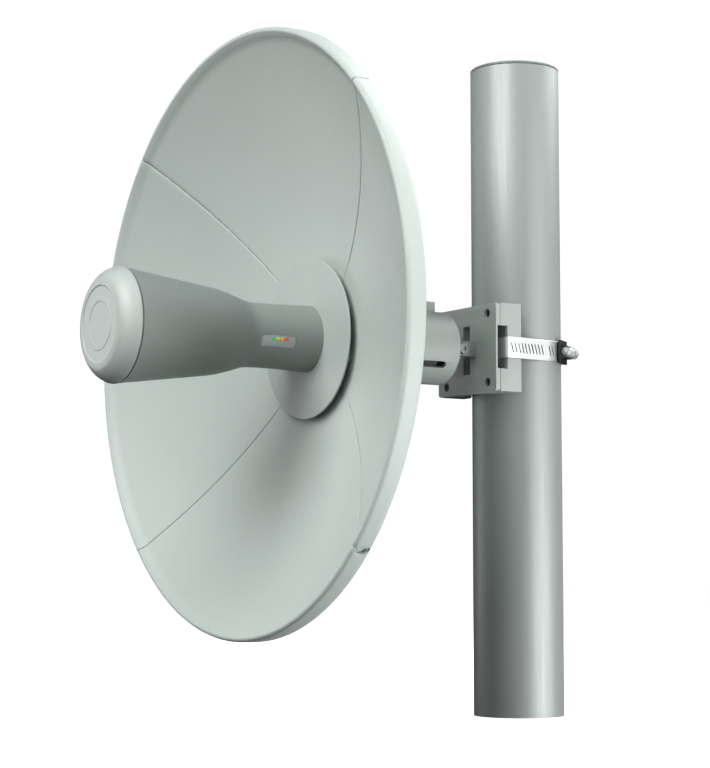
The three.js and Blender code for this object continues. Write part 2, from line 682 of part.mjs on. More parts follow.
// The band's closed line, offset outwards: round the back of the mast, along the bracket's
// sides, in through the slots and across behind the front plate.
function bandLine(offset) {
  const radius = MAST_RADIUS + BAND_CLEARANCE + offset;
  const sideX = BRACKET_HALF_WIDTH + GAP + offset;
  const frontY = BAND_FRONT_Y - offset;
  const bend = 1.2 + offset;
  return [
    ...arcPoints(0, 0, radius, 5.5, 174.5, 40),
    [-sideX, FRAME_REAR_Y - 1],
    ...arcPoints(-sideX + bend, frontY + bend, bend, 180, 270, 4),
    ...arcPoints(sideX - bend, frontY + bend, bend, 270, 360, 4),
    [sideX, FRAME_REAR_Y - 1],
  ];
}

function clampBand() {
  const outline = polygon(bandLine(BAND_THICKNESS));
  outline.holes.push(new THREE.Path(bandLine(0).map(([x, y]) => new THREE.Vector2(x, y))));
  return plateZ(outline, -BAND_WIDTH / 2, BAND_WIDTH / 2);
}

// The housing is drawn at the mast's +X side, with the worm along +Y, and turned into place:
// a saddle over the band, with a low cradle that leaves the worm's outer half bare.
function wormHousing() {
  const base = MAST_RADIUS + BAND_CLEARANCE + BAND_THICKNESS + 0.4;
  const saddle = box([base, -7, -8.2], [base + 2.2, 7, 8.2]);
  const cradle = box([base, -6.2, -4.6], [WORM_AXIS_RADIUS, 7, 4.6]);
  const bore = rod("y", WORM_RADIUS + 0.5, -10, 10, [WORM_AXIS_RADIUS, 0]);
  return join([saddle, cradle]).subtract(bore);
}

function wormScrew() {
  const worm = rod("y", WORM_RADIUS, -5.6, 8, [WORM_AXIS_RADIUS, 0]);
  const head = rod("y", 4.2, 7.5, 14, [WORM_AXIS_RADIUS, 0], 6);
  const slot = box([WORM_AXIS_RADIUS - 5, 12.6, -0.6], [WORM_AXIS_RADIUS + 5, 15, 0.6]);
  return worm.add(head).subtract(slot);
}

// ---------- assembly ----------

const dish = new THREE.Group();

const mast = new THREE.Group();
mast.add(piece("mast_tube", mastTube(), galvanised), piece("mast_cap", mastCap(), blackRubber));

// Everything below hangs from the dish axis.
const head = new THREE.Group();
head.position.z = AXIS_HEIGHT;

const bracket = new THREE.Group();
bracket.add(piece("bracket_face", bracketFace(), bracketCasting));
bracket.add(piece("bracket_frame", bracketFrame(), bracketCasting));
cornerPlaces().forEach((place, i) => {
  bracket.add(piece(`corner_screw_${i + 1}`, cornerScrew(place), darkSteel));
});
bracket.add(piece("pivot_bolt", pivotBolt(), stainless), piece("pivot_nut", pivotNut(), stainless));
bracket.add(piece("pivot_washer_left", pivotWasher(-1), stainless));
bracket.add(piece("pivot_washer_right", pivotWasher(1), stainless));
bracket.add(piece("clamp_band", clampBand(), stainless));

const worm = new THREE.Group();
worm.rotation.z = HOUSING_ANGLE;
worm.add(piece("worm_housing", wormHousing(), darkSteel), piece("worm_screw", wormScrew(), stainless));

const antenna = new THREE.Group();
const bowl = reflectorBowl();
const petalPlaces = { right: 0, top: 90, left: 180, bottom: 270 };
for (const [place, angle] of Object.entries(petalPlaces)) {
  const whole = petal(bowl, angle);
  antenna.add(piece(`reflector_${place}`, place === "bottom" ? drained(whole) : whole, paint));
}
antenna.add(piece("socket_housing", socketHousing(), paint), piece("latch_tab", latchTab(), paint));
antenna.add(piece("port_grommet", portGrommet(), blackRubber), piece("ethernet_jack", ethernetJack(), tin));
SCREW_ANGLES.forEach((angle, i) => {
  antenna.add(piece(`reflector_screw_${i + 1}`, reflectorScrew(angle), stainless));
});
antenna.add(piece("base_disc", baseDisc(), paint), piece("radio_shell", radioShell(), paint));
antenna.add(piece("front_cap", frontCap(), capPlastic), piece("cap_seal", capSeal(), blackRubber));
antenna.add(piece("led_window", ledWindow(), lensPlastic));
const ledColours = [0xd8452e, 0xe0902e, 0xb9d648, 0x4fb85a];
ledColours.forEach((colour, i) => {
  antenna.add(piece(`status_led_${i + 1}`, ledRod(i, LED_RADIUS, 20.1, 21.7), material(colour, 0.35)));
});
antenna.add(piece("circuit_board", circuitBoard(), boardGreen));
antenna.add(piece("radio_shield", shieldCan(-60, -20), tin));
antenna.add(piece("processor_shield", shieldCan(60, 100), tin));
antenna.add(piece("feed_post", feedPost(), tin), piece("splash_plate", splashPlate(), tin));

head.add(bracket, worm, antenna);
dish.add(mast, head);

export default dish;
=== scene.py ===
import math

import bmesh
import bpy
from mathutils import Matrix, Vector


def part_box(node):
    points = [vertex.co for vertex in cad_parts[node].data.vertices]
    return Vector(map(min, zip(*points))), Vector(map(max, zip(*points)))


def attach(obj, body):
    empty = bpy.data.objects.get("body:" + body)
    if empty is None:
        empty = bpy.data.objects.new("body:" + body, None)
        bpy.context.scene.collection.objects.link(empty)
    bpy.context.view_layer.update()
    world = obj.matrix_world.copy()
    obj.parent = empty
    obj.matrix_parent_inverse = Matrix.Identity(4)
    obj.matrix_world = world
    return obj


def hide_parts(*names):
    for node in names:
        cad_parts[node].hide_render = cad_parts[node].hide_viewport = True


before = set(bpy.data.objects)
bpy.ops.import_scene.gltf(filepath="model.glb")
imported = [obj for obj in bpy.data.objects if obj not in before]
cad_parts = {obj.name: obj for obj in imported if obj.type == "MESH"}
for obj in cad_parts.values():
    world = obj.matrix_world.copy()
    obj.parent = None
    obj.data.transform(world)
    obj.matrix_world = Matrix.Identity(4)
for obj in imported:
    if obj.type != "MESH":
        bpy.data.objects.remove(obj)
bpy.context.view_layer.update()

# ---------------------------------------------------------------- sizes, in millimetres

MM = 0.001


def cad_span(node):
    """A CAD node's lowest and highest corner in millimetres."""
    low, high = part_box(node)
    return low / MM, high / MM


DISH_LOW, DISH_HIGH = cad_span("reflector_right")
SOCKET_HIGH = cad_span("socket_housing")[1]
DISC_LOW, DISC_HIGH = cad_span("base_disc")
CAP_LOW, CAP_HIGH = cad_span("front_cap")
SHELL_LOW, SHELL_HIGH = cad_span("radio_shell")
FRAME_LOW, FRAME_HIGH = cad_span("bracket_frame")
MAST_LOW, MAST_HIGH = cad_span("mast_tube")
LID_LOW, LID_HIGH = cad_span("mast_cap")
BAND_LOW, BAND_HIGH = cad_span("clamp_band")
TAB_LOW, TAB_HIGH = cad_span("latch_tab")
GROMMET_LOW, GROMMET_HIGH = cad_span("port_grommet")

AXIS_Z = (DISC_LOW.z + DISC_HIGH.z) / 2
GAP = 0.35
SMOOTH_SIDES = 192

MAST_RADIUS = MAST_HIGH.x
MAST_WALL = 2.5
LID_THICKNESS = 2.2

DISH_RADIUS = DISH_HIGH.x
RIM_Y = DISH_LOW.y
VERTEX_Y = -165.0
FOCAL_LENGTH = DISH_RADIUS ** 2 / (4 * (VERTEX_Y - RIM_Y))
SHEET = 1.8
BEAD = 2.4
SKIRT_DEPTH = 12.3
SEAM = 0.6
SEAM_CLOSED = 0.04
SEAM_START = 61.0
PETAL_INNER = 28.0
DRAIN_RADIUS = 5.0
CLIP_OUTER = 197.3
CLIP_INNER = 195.9

DISC_FACE_Y = DISC_LOW.y
DISC_RADIUS = DISC_HIGH.x
DISC_THICKNESS = 2.5
DISC_EDGE = 1.3

SOCKET_REAR_Y = -66.0
SOCKET_RADIUS = 25.4
SOCKET_BORE = 22.6
SOCKET_ROUND = 2.4
FLANGE_FILLET = 4.0
FLANGE_RADIUS = SOCKET_HIGH.x
FLANGE_REAR_Y = -160.0
PORT_Y = (GROMMET_LOW.y + GROMMET_HIGH.y) / 2
PORT_BOSS_DROP = 29.0
PORT_BORE = 11.2
SHELL_PORT = 10.5
SLEEVE_PORT = 11.0
RIB_COUNT = 8
TONGUE_HALF_X = 4.0
TONGUE_RADIUS = 9.5
GRIP_SLOT_TURNS = (-33, -147)
GRIP_SLOT_HALF = 2.6

BARREL_END = DISC_FACE_Y - SHELL_LOW.y
CAP_RADIUS = CAP_HIGH.x
CAP_TIP = DISC_FACE_Y - CAP_LOW.y
CAP_START = 139.9
SHELL_WALL = 2.6

PIVOT_Y = -55.0
EAR_IN = 5.2
EAR_OUT = 10.6
EAR_HALF = 5.0
BOLT_HOLE = 2.85

CORNER_X = 24.5
CORNER_Z = 24.0
SCREW_HEAD_BORE = 3.1
SCREW_HEAD_DEPTH = 2.2
SCREW_SHANK_BORE = 1.9
SCREW_THREAD_BORE = 1.85
FACE_THICKNESS = 3.5
POCKET_FLOOR_Y = -37.0
POCKET_HALF_X = 4.0
POCKET_HALF_Z = 17.0
POCKET_WALL = 1.2

BAND_WIDTH = BAND_HIGH.z - BAND_LOW.z
BAND_THICKNESS = 0.8
BAND_FRONT_Y = -34.6
BAND_RADIUS = MAST_RADIUS + 0.45
BAND_LEAVES_MAST = math.radians(5.5)
HOUSING_TURN = math.radians(34)
WORM_AXIS = 38.4
THREAD_PITCH = 3.1

NECK_AND_BARREL = [
    (22.3, 0), (21.8, 12), (21.4, 24), (21.3, 40), (22.0, 50), (24.8, 59), (27.9, 71),
    (30.3, 88), (32.6, 106), (35.0, 124), (36.9, BARREL_END),
]

WINDOW_TURN = math.radians(-15.7)
WINDOW_START = 20.5
WINDOW_END = 46.5
WINDOW_HEIGHT = 7.8
WINDOW_CORNER = 1.6
WINDOW_CLEARANCE = 0.12
PANE_BACK = 20.3
PANE_FRONT = 21.15


def dish_front(radius):
    return VERTEX_Y - radius ** 2 / (4 * FOCAL_LENGTH)


def dish_back(radius):
    return dish_front(radius) + SHEET * math.hypot(1, radius / (2 * FOCAL_LENGTH))


# ---------------------------------------------------------------- mesh helpers


def new_object(name, points, faces):
    """An object from points in millimetres."""
    mesh = bpy.data.meshes.new(name)
    mesh.from_pydata([Vector(p) * MM for p in points], [], faces)
    mesh.validate()
    obj = bpy.data.objects.new(name, mesh)
    bpy.context.scene.collection.objects.link(obj)
    return outwards(obj)


def outwards(obj):
    """Turns every face of a closed mesh outwards."""
    work = bmesh.new()
    work.from_mesh(obj.data)
    bmesh.ops.remove_doubles(work, verts=work.verts, dist=1e-7)
    bmesh.ops.recalc_face_normals(work, faces=work.faces)
    if work.calc_volume(signed=True) < 0:
        bmesh.ops.reverse_faces(work, faces=work.faces)
    work.to_mesh(obj.data)
    work.free()
    return obj


def revolve(name, outline, axis="y", sides=160, centre=(0, 0)):
    """A solid of revolution from (radius, height) pairs, about the dish axis or an upright axis.

    The outline closes on itself, or it starts and ends on the axis."""
    points, rings = [], []
    for radius, height in outline:
        if radius < 1e-6:
            rings.append([len(points)] * sides)
            points.append(on_axis(axis, 0, 0, height, centre))
            continue
        rings.append(list(range(len(points), len(points) + sides)))
        for i in range(sides):
            turn = 2 * math.pi * i / sides
            across, up = radius * math.cos(turn), radius * math.sin(turn)
            points.append(on_axis(axis, across, up, height, centre))
    closed = outline[0][0] > 1e-6
    faces = []
    for k in range(len(rings) if closed else len(rings) - 1):
        a, b = rings[k], rings[(k + 1) % len(rings)]
        for i in range(sides):
            j = (i + 1) % sides
            corners = [a[i], a[j], b[j], b[i]]
            face = [c for n, c in enumerate(corners) if c not in corners[:n]]
            if len(face) > 2:
                faces.append(face)
    return new_object(name, points, faces)


def on_axis(axis, across, up, along, centre):
    """A point beside the dish axis (y) or beside an upright axis (z)."""
    if axis == "y":
        return (centre[0] + across, along, AXIS_Z + centre[1] + up)
    return (centre[0] + across, centre[1] + up, along)


def slab_faces(count):
    """The two ends and the sides of a solid between two outlines of this many points."""
    faces = [list(range(count)), list(range(2 * count - 1, count - 1, -1))]
    for i in range(count):
        j = (i + 1) % count
        faces.append([i, j, count + j, count + i])
    return faces


def prism(name, outline, axis, low, high):
    """A flat outline pushed along an axis. X and Y prisms count height from the dish axis."""
    place = {
        "x": lambda a, b, d: (d, a, AXIS_Z + b),
        "y": lambda a, b, d: (a, d, AXIS_Z + b),
        "z": lambda a, b, d: (a, b, d),
    }[axis]
    points = [place(a, b, end) for end in (low, high) for a, b in outline]
    return new_object(name, points, slab_faces(len(outline)))


def swept(name, sections):
    """A bar through a row of four-cornered sections."""
    points = [corner for section in sections for corner in section]
    last = len(points) - 4
    faces = [[0, 1, 2, 3], [last + k for k in (3, 2, 1, 0)]]
    for start in range(0, last, 4):
        for k in range(4):
            a, b = start + k, start + (k + 1) % 4
            faces.append([a, b, b + 4, a + 4])
    return new_object(name, points, faces)


def circle(radius, sides=64, centre=(0, 0), first=0.0, last=2 * math.pi):
    """Points round a circle, or along an arc of it where first and last are given."""
    whole = abs(last - first) > 2 * math.pi - 1e-6
    steps = sides if whole else sides - 1
    return [
        (centre[0] + radius * math.cos(first + (last - first) * i / steps),
         centre[1] + radius * math.sin(first + (last - first) * i / steps))
        for i in range(sides)
    ]


def rod(name, axis, radius, low, high, centre=(0, 0), sides=64):
    return prism(name, circle(radius, sides, centre), axis, low, high)


def block(name, low, high):
    """A box between two corners. Heights count from the dish axis."""
    outline = [(low[0], low[1]), (high[0], low[1]), (high[0], high[1]), (low[0], high[1])]
    return prism(name, outline, "z", AXIS_Z + low[2], AXIS_Z + high[2])


def rounded_rectangle(half_a, half_b, radius, steps=6):
    quarter = math.pi / 2
    places = [(1, -1, -quarter), (1, 1, 0), (-1, 1, quarter), (-1, -1, 2 * quarter)]
    points = []
    for sign_a, sign_b, first in places:
        corner = (sign_a * (half_a - radius), sign_b * (half_b - radius))
        points += circle(radius, steps, corner, first, first + quarter)
    return points


def spline(pairs, steps):
    """A smooth line through a few pairs, as points."""
    points = [Vector(p) for p in pairs]
    points = [2 * points[0] - points[1]] + points + [2 * points[-1] - points[-2]]
    result = []
    for k in range(1, len(points) - 2):
        p0, p1, p2, p3 = points[k - 1:k + 3]
        for i in range(steps):
            t = i / steps
            result.append(0.5 * (
                2 * p1 + (p2 - p0) * t + (2 * p0 - 5 * p1 + 4 * p2 - p3) * t ** 2
                + (3 * p1 - p0 - 3 * p2 + p3) * t ** 3
            ))
    result.append(points[-2])
    return [tuple(p) for p in result]


def turned(obj, axis, angle, centre=(0, 0, 0)):
    """The object's mesh turned about an axis through a point in millimetres."""
    move = Matrix.Translation(Vector(centre) * MM)
    obj.data.transform(move @ Matrix.Rotation(angle, 4, axis.upper()) @ move.inverted())
    return obj


def round_dish(obj, degrees):
    """The mesh turned about the dish axis, from +X towards +Z."""
    return turned(obj, "Y", math.radians(-degrees), (0, 0, AXIS_Z))


def baked(obj):
    """The object with its modifiers applied."""
    evaluated = obj.evaluated_get(bpy.context.evaluated_depsgraph_get())
    mesh = bpy.data.meshes.new_from_object(evaluated)
    obj.modifiers.clear()
    obj.data = mesh
    return obj


def combined(obj, others, operation):
    for other in others:
        modifier = obj.modifiers.new("combine", "BOOLEAN")
        modifier.operation = operation
        modifier.solver = "EXACT"
        modifier.object = other
        baked(obj)
        bpy.data.objects.remove(other)
    return obj


def joined(obj, *others):
    return combined(obj, others, "UNION")


def carved(obj, *others):
    return combined(obj, others, "DIFFERENCE")


def gathered(name, objects):
    """Several separate meshes as one object."""
    work = bmesh.new()
    for obj in objects:
        work.from_mesh(obj.data)
        bpy.data.objects.remove(obj)
    mesh = bpy.data.meshes.new(name)
    work.to_mesh(mesh)
    work.free()
    result = bpy.data.objects.new(name, mesh)
    bpy.context.scene.collection.objects.link(result)
    return result


def softened(obj, width, segments=2, angle=35):
    """Rounds the sharp edges by a width in millimetres."""
    if width:
        bevel = obj.modifiers.new("edges", "BEVEL")
        bevel.width = width * MM
        bevel.segments = segments
        bevel.limit_method = "ANGLE"
        bevel.angle_limit = math.radians(angle)
        bevel.use_clamp_overlap = True
        bevel.harden_normals = False
        baked(obj)
    obj.data.shade_smooth()
    obj.data.set_sharp_from_angle(angle=math.radians(angle))
    return obj


def shown(obj, body, nodes, material):
    """Puts a finished piece on its body in place of CAD nodes."""
    obj.data.materials.clear()
    obj.data.materials.append(material)
    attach(obj, body)
    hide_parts(*nodes)
    return obj


# ---------------------------------------------------------------- materials


class Look:
    """A material built from nodes over Principled BSDF."""

    def __init__(self, name, color, roughness, metallic=0.0):
        self.material = bpy.data.materials.new(name)
        self.material.use_nodes = True
        self.nodes = self.material.node_tree.nodes
        self.links = self.material.node_tree.links
        self.shader = self.nodes["Principled BSDF"]
        self.color = color
        self.roughness = roughness
        self.shader.inputs["Base Color"].default_value = (*color, 1)
        self.shader.inputs["Roughness"].default_value = roughness
        self.shader.inputs["Metallic"].default_value = metallic
        self.place = self.nodes.new("ShaderNodeTexCoord").outputs["Object"]
        self.normal = None

    def stretched(self, scale):
        mapping = self.nodes.new("ShaderNodeMapping")
        mapping.inputs["Scale"].default_value = scale
        self.links.new(self.place, mapping.inputs["Vector"])
        return mapping.outputs["Vector"]

    def noise(self, size, detail=3.0, stretch=None, rough=0.5):
        """Noise whose grains are about this many millimetres."""
        texture = self.nodes.new("ShaderNodeTexNoise")
        texture.inputs["Scale"].default_value = 1 / (size * MM)
        texture.inputs["Detail"].default_value = detail
        texture.inputs["Roughness"].default_value = rough
        self.links.new(self.stretched(stretch) if stretch else self.place, texture.inputs["Vector"])
        return texture.outputs["Fac"]

    def speckle(self, size):
        texture = self.nodes.new("ShaderNodeTexVoronoi")
        texture.inputs["Scale"].default_value = 1 / (size * MM)
        self.links.new(self.place, texture.inputs["Vector"])
        return texture.outputs["Distance"]

    def mapped(self, value, low, high, new_low, new_high):
        node = self.nodes.new("ShaderNodeMapRange")
        node.inputs["From Min"].default_value = low
        node.inputs["From Max"].default_value = high
        node.inputs["To Min"].default_value = new_low
        node.inputs["To Max"].default_value = new_high
        self.links.new(value, node.inputs["Value"])
        return node.outputs["Result"]

    def tint(self, value, amount, low=0.3, high=0.7):
        """Lightens and darkens the colour by up to this share where the value runs low to high."""
        mix = self.nodes.new("ShaderNodeMix")
        mix.data_type = "RGBA"
        mix.inputs["A"].default_value = (*[c * (1 - amount) for c in self.color], 1)
        mix.inputs["B"].default_value = (*[min(1, c * (1 + amount)) for c in self.color], 1)
        self.links.new(self.mapped(value, low, high, 0, 1), mix.inputs["Factor"])
        self.links.new(mix.outputs["Result"], self.shader.inputs["Base Color"])
        return self

    def roughen(self, value, spread, low=0.3, high=0.7):
        result = self.mapped(value, low, high, self.roughness - spread, self.roughness + spread)
        self.links.new(result, self.shader.inputs["Roughness"])
        return self

    def bump(self, value, height, strength=1.0):
        """Relief of this many millimetres, on top of any before it."""
        node = self.nodes.new("ShaderNodeBump")
        node.inputs["Distance"].default_value = height * MM
        node.inputs["Strength"].default_value = strength
        self.links.new(value, node.inputs["Height"])
        if self.normal:
            self.links.new(self.normal, node.inputs["Normal"])
        self.normal = node.outputs["Normal"]
        self.links.new(self.normal, self.shader.inputs["Normal"])
        return self

    def setting(self, name, value):
        self.shader.inputs[name].default_value = value
        return self


def powder_coat():
    look = Look("pale_powder_coat", (0.43, 0.482, 0.456), 0.50)
    look.tint(look.noise(70, 2), 0.025)
    look.roughen(look.noise(4, 3), 0.06)
    look.bump(look.noise(1.6, 2), 0.05).bump(look.noise(0.45, 2), 0.03)
    return look.material


def moulded_plastic(name, color, roughness):
    look = Look(name, color, roughness)
    look.tint(look.noise(45, 2), 0.02)
    look.roughen(look.noise(3, 3), 0.05)
    look.bump(look.noise(0.5, 3), 0.035)
    return look.material


def cast_paint():
    look = Look("bracket_paint", (0.31, 0.344, 0.327), 0.48)
    look.tint(look.noise(12, 4), 0.04)
    look.roughen(look.noise(2, 3), 0.07)
    look.bump(look.noise(1.2, 3), 0.06).bump(look.noise(0.35, 2), 0.02)
    return look.material


def mast_metal():
    look = Look("mast_metal", (0.285, 0.31, 0.303), 0.48, 0.3)
    look.tint(look.noise(30, 3, (1, 1, 0.08)), 0.05)
    look.roughen(look.noise(1.2, 4, (1, 1, 0.02)), 0.08)
    look.bump(look.noise(0.5, 3, (1, 1, 0.01)), 0.01)
    return look.material


def brushed_steel(name, color, roughness, stretch=(1, 1, 40)):
    look = Look(name, color, roughness, 1.0)
    look.tint(look.noise(6, 3), 0.03)
    look.roughen(look.noise(0.6, 3, stretch), 0.08)
    look.bump(look.noise(0.25, 2, stretch), 0.006)
    return look.material


# Near-black steel for the worm housing. The near-black colour is painted shade: it stands in for
# the shadow that the housing sits in.
def shade_black_coating():
    look = Look("worm_housing_painted_shade_black", (0.008, 0.009, 0.009), 0.5, 0.2)
    look.tint(look.noise(2, 4), 0.3)
    look.roughen(look.noise(1, 3), 0.1)
    look.bump(look.noise(0.3, 2), 0.015)
    return look.material


def rubber(name, color):
    look = Look(name, color, 0.75)
    look.tint(look.noise(5, 3), 0.15)
    look.roughen(look.noise(1, 3), 0.08)
    look.bump(look.noise(0.3, 3), 0.02)
    return look.material


def frosted_lens():
    look = Look("frosted_lens", (0.40, 0.435, 0.425), 0.35)
    look.setting("Coat Weight", 0.4).setting("Coat Roughness", 0.1)
    look.tint(look.noise(2, 3), 0.06)
    look.roughen(look.noise(0.8, 3), 0.08)
    look.bump(look.noise(0.25, 2), 0.01)
    return look.material


def light_pipe(name, color, glow):
    look = Look(name, color, 0.3)
    look.setting("Emission Color", (*color, 1)).setting("Emission Strength", glow)
    look.tint(look.noise(0.8, 2), 0.15)
    look.roughen(look.noise(0.5, 2), 0.1)
    return look.material


def solder_mask():
    look = Look("solder_mask", (0.01, 0.09, 0.04), 0.35)
    look.tint(look.speckle(4), 0.4, 0.1, 0.6)
    look.bump(look.speckle(2), 0.05)
    return look.material


PAINT = powder_coat()
# The radio housing and the centre disc are one plastic. The housing copy is darker than the disc's:
# painted shade on the neck, barrel, socket and latch.
SHADED_HOUSING = moulded_plastic("housing_plastic", (0.237, 0.267, 0.252), 0.48)
DISC = moulded_plastic("disc_plastic", (0.36, 0.404, 0.382), 0.48)
CAP = moulded_plastic("cap_plastic", (0.39, 0.43, 0.41), 0.44)
CASTING = cast_paint()
MAST = mast_metal()
LID = moulded_plastic("mast_lid_plastic", (0.16, 0.18, 0.175), 0.5)
BAND = brushed_steel("band_steel", (0.66, 0.68, 0.68), 0.42)
STAINLESS = brushed_steel("stainless", (0.50, 0.52, 0.52), 0.62, (1, 1, 1))
BOLT = brushed_steel("dull_bolt_steel", (0.34, 0.36, 0.35), 0.7, (1, 1, 1))
# Near-black screw heads: painted shade for the counterbores that they sit in.
SCREW_PAINTED_SHADE = brushed_steel("screw_painted_shade", (0.045, 0.05, 0.05), 0.5, (1, 1, 1))
# Painted shade: near-black for the worm housing.
SHADE_BLACK = shade_black_coating()
RUBBER = rubber("black_rubber", (0.02, 0.022, 0.022))
SEAL = rubber("seal_rubber", (0.20, 0.22, 0.21))
LENS = frosted_lens()
TIN = brushed_steel("tin_plate", (0.6, 0.62, 0.62), 0.35, (1, 1, 1))
BOARD = solder_mask()
LED_LOOKS = [
    ("led_red", (0.75, 0.08, 0.04)),
    ("led_amber", (0.80, 0.38, 0.03)),
    ("led_lime", (0.45, 0.62, 0.06)),
    ("led_green", (0.07, 0.48, 0.12)),
]

# ---------------------------------------------------------------- mast


def build_mast():
    inner = MAST_RADIUS - MAST_WALL
    tube = revolve("mast_pipe", [
        (inner, MAST_LOW.z), (MAST_RADIUS, MAST_LOW.z),
        (MAST_RADIUS, MAST_HIGH.z), (inner, MAST_HIGH.z),
    ], axis="z", sides=SMOOTH_SIDES)
    shown(softened(tube, 0.35), "mast", ["mast_tube"], MAST)
    plug = inner - GAP
    lid_low = LID_HIGH.z - LID_THICKNESS
    lid = revolve("mast_lid", [
        (0, LID_HIGH.z), (MAST_RADIUS - 4, LID_HIGH.z - 0.1), (MAST_RADIUS - 0.8, LID_HIGH.z - 0.4),
        (MAST_RADIUS, LID_HIGH.z - 1.1), (MAST_RADIUS, lid_low), (plug, lid_low), (plug, LID_LOW.z),
        (plug - 2, LID_LOW.z), (plug - 2, lid_low), (0, lid_low),
    ], axis="z", sides=SMOOTH_SIDES)
    shown(softened(lid, 0.15), "mast", ["mast_cap"], LID)


# ---------------------------------------------------------------- reflector


def petal_profile():
    """Pairs of (front, back) points as (radius, y), from the inner edge to the skirt's end."""
    bead_centre = (DISH_RADIUS - BEAD, RIM_Y + BEAD)
    corner = (DISH_RADIUS - SHEET - 0.3, RIM_Y + BEAD + SHEET)
    pairs = []
    bowl_steps, bowl_end = 34, DISH_RADIUS - 2.4 * BEAD
    for i in range(bowl_steps + 1):
        radius = PETAL_INNER + (bowl_end - PETAL_INNER) * i / bowl_steps
        pairs.append(((radius, dish_front(radius)), (radius, dish_back(radius))))
    bead_steps, bead_arc = 8, 112
    for i in range(bead_steps + 1):
        turn = math.radians(-bead_arc + bead_arc * i / bead_steps)
        front = (bead_centre[0] + BEAD * math.cos(turn), bead_centre[1] + BEAD * math.sin(turn))
        back = (corner[0] + 0.25 * math.cos(turn), corner[1] + 0.25 * math.sin(turn))
        pairs.append((front, back))
    end_y = RIM_Y + SKIRT_DEPTH
    for share in (0.3, 0.65, 0.94):
        y = bead_centre[1] + (end_y - bead_centre[1]) * share
        pairs.append(((DISH_RADIUS, y), (corner[0] + 0.25, max(y, corner[1] + 0.3))))
    pairs.append(((DISH_RADIUS - 0.45, end_y), (corner[0] + 0.6, end_y)))
    return pairs


def seam_width(radius):
    """The petals close up where the hub clamps them, and stand apart further out."""
    share = min(1, max(0, (radius - SEAM_START) / 3))
    return SEAM_CLOSED + (SEAM - SEAM_CLOSED) * share


def petal(name, middle):
    """A quarter of the bowl: a sheet with parallel-sided seams and a rim turned back."""
    pairs = petal_profile()
    loop = [front for front, _ in pairs] + [back for _, back in reversed(pairs)]
    columns = 72
    points = []
    for column in range(columns + 1):
        share = 2 * column / columns - 1
        for radius, y in loop:
            half = math.pi / 4 - math.asin(seam_width(radius) / 2 / radius)
            turn = math.radians(middle) + share * half
            points.append((radius * math.cos(turn), y, AXIS_Z + radius * math.sin(turn)))
    size = len(loop)
    faces = []
    for column in range(columns):
        for i in range(size):
            j = (i + 1) % size
            a, b = column * size, (column + 1) * size
            faces.append([a + i, a + j, b + j, b + i])
    for start in (0, columns * size):
        for i in range(len(pairs) - 1):
            faces.append([start + i, start + i + 1, start + size - 2 - i, start + size - 1 - i])
    return new_object(name, points, faces)


def seam_lip(middle, side):
    """The strip that a top or bottom petal tucks behind its neighbour along a seam.

    It stands further off near the rim, where the sheet turns forwards into its bead."""
    seam = math.radians(middle + 45 * side)
    across = Vector((-math.sin(seam), 0, math.cos(seam))) * side
    along = Vector((math.cos(seam), 0, math.sin(seam)))
    first, last, rim_turns = 60.0, DISH_RADIUS - 2.7, DISH_RADIUS - 6
    under, over, near, far = -5, 4, 0.22, 1.42
    sections = []
    steps = 24
    for i in range(steps + 1):
        radius = first + (last - first) * i / steps
        back = dish_back(radius) + 0.2 * max(0, radius - rim_turns)
        section = []
        for offset, depth in ((under, near), (over, near), (over, far), (under, far)):
            place = along * radius + across * offset
            section.append((place.x, back + depth, AXIS_Z + place.z))
        sections.append(section)
    return swept("lip", sections)


def rim_clip(degrees):
    """A curved tab inside the skirt that holds two petals together behind a seam."""
    low, high = RIM_Y + 4.5, RIM_Y + SKIRT_DEPTH - 0.1
    corners_of_tab = ((CLIP_OUTER, low), (CLIP_OUTER, high), (CLIP_INNER, high), (CLIP_INNER, low))
    sections = []
    steps, reach = 12, 5
    for i in range(steps + 1):
        turn = math.radians(degrees - reach + 2 * reach * i / steps)
        sections.append([
            (radius * math.cos(turn), y, AXIS_Z + radius * math.sin(turn))
            for radius, y in corners_of_tab
        ])
    return swept("clip", sections)


def build_reflector():
    for place, middle in {"right": 0, "top": 90, "left": 180, "bottom": 270}.items():
        sheet = petal("petal_" + place, middle)
        if place == "bottom":
            middle_y = RIM_Y + SKIRT_DEPTH / 2 + 0.6
            low, high = DISH_RADIUS - 4, DISH_RADIUS + 4
            for seam in (-45, -135):
                drain = rod("drain", "x", DRAIN_RADIUS, low, high, (middle_y, 0), 48)
                carved(sheet, round_dish(drain, seam))
        softened(sheet, 0.45, 2, 50)
        if place in ("top", "bottom"):
            lips = [seam_lip(middle, side) for side in (-1, 1)]
            lips += [rim_clip(middle + 45 * side) for side in (-1, 1)]
            for lip in lips:
                softened(lip, 0.2)
            sheet = gathered("petal_" + place, [sheet, *lips])
        shown(sheet, "antenna", ["reflector_" + place], PAINT)


SCREW_RING = 42.0
SCREW_TURNS = [22.5 + 45 * i for i in range(8)]


def ring_place(degrees, radius=SCREW_RING):
    turn = math.radians(degrees)
    return (radius * math.cos(turn), radius * math.sin(turn))


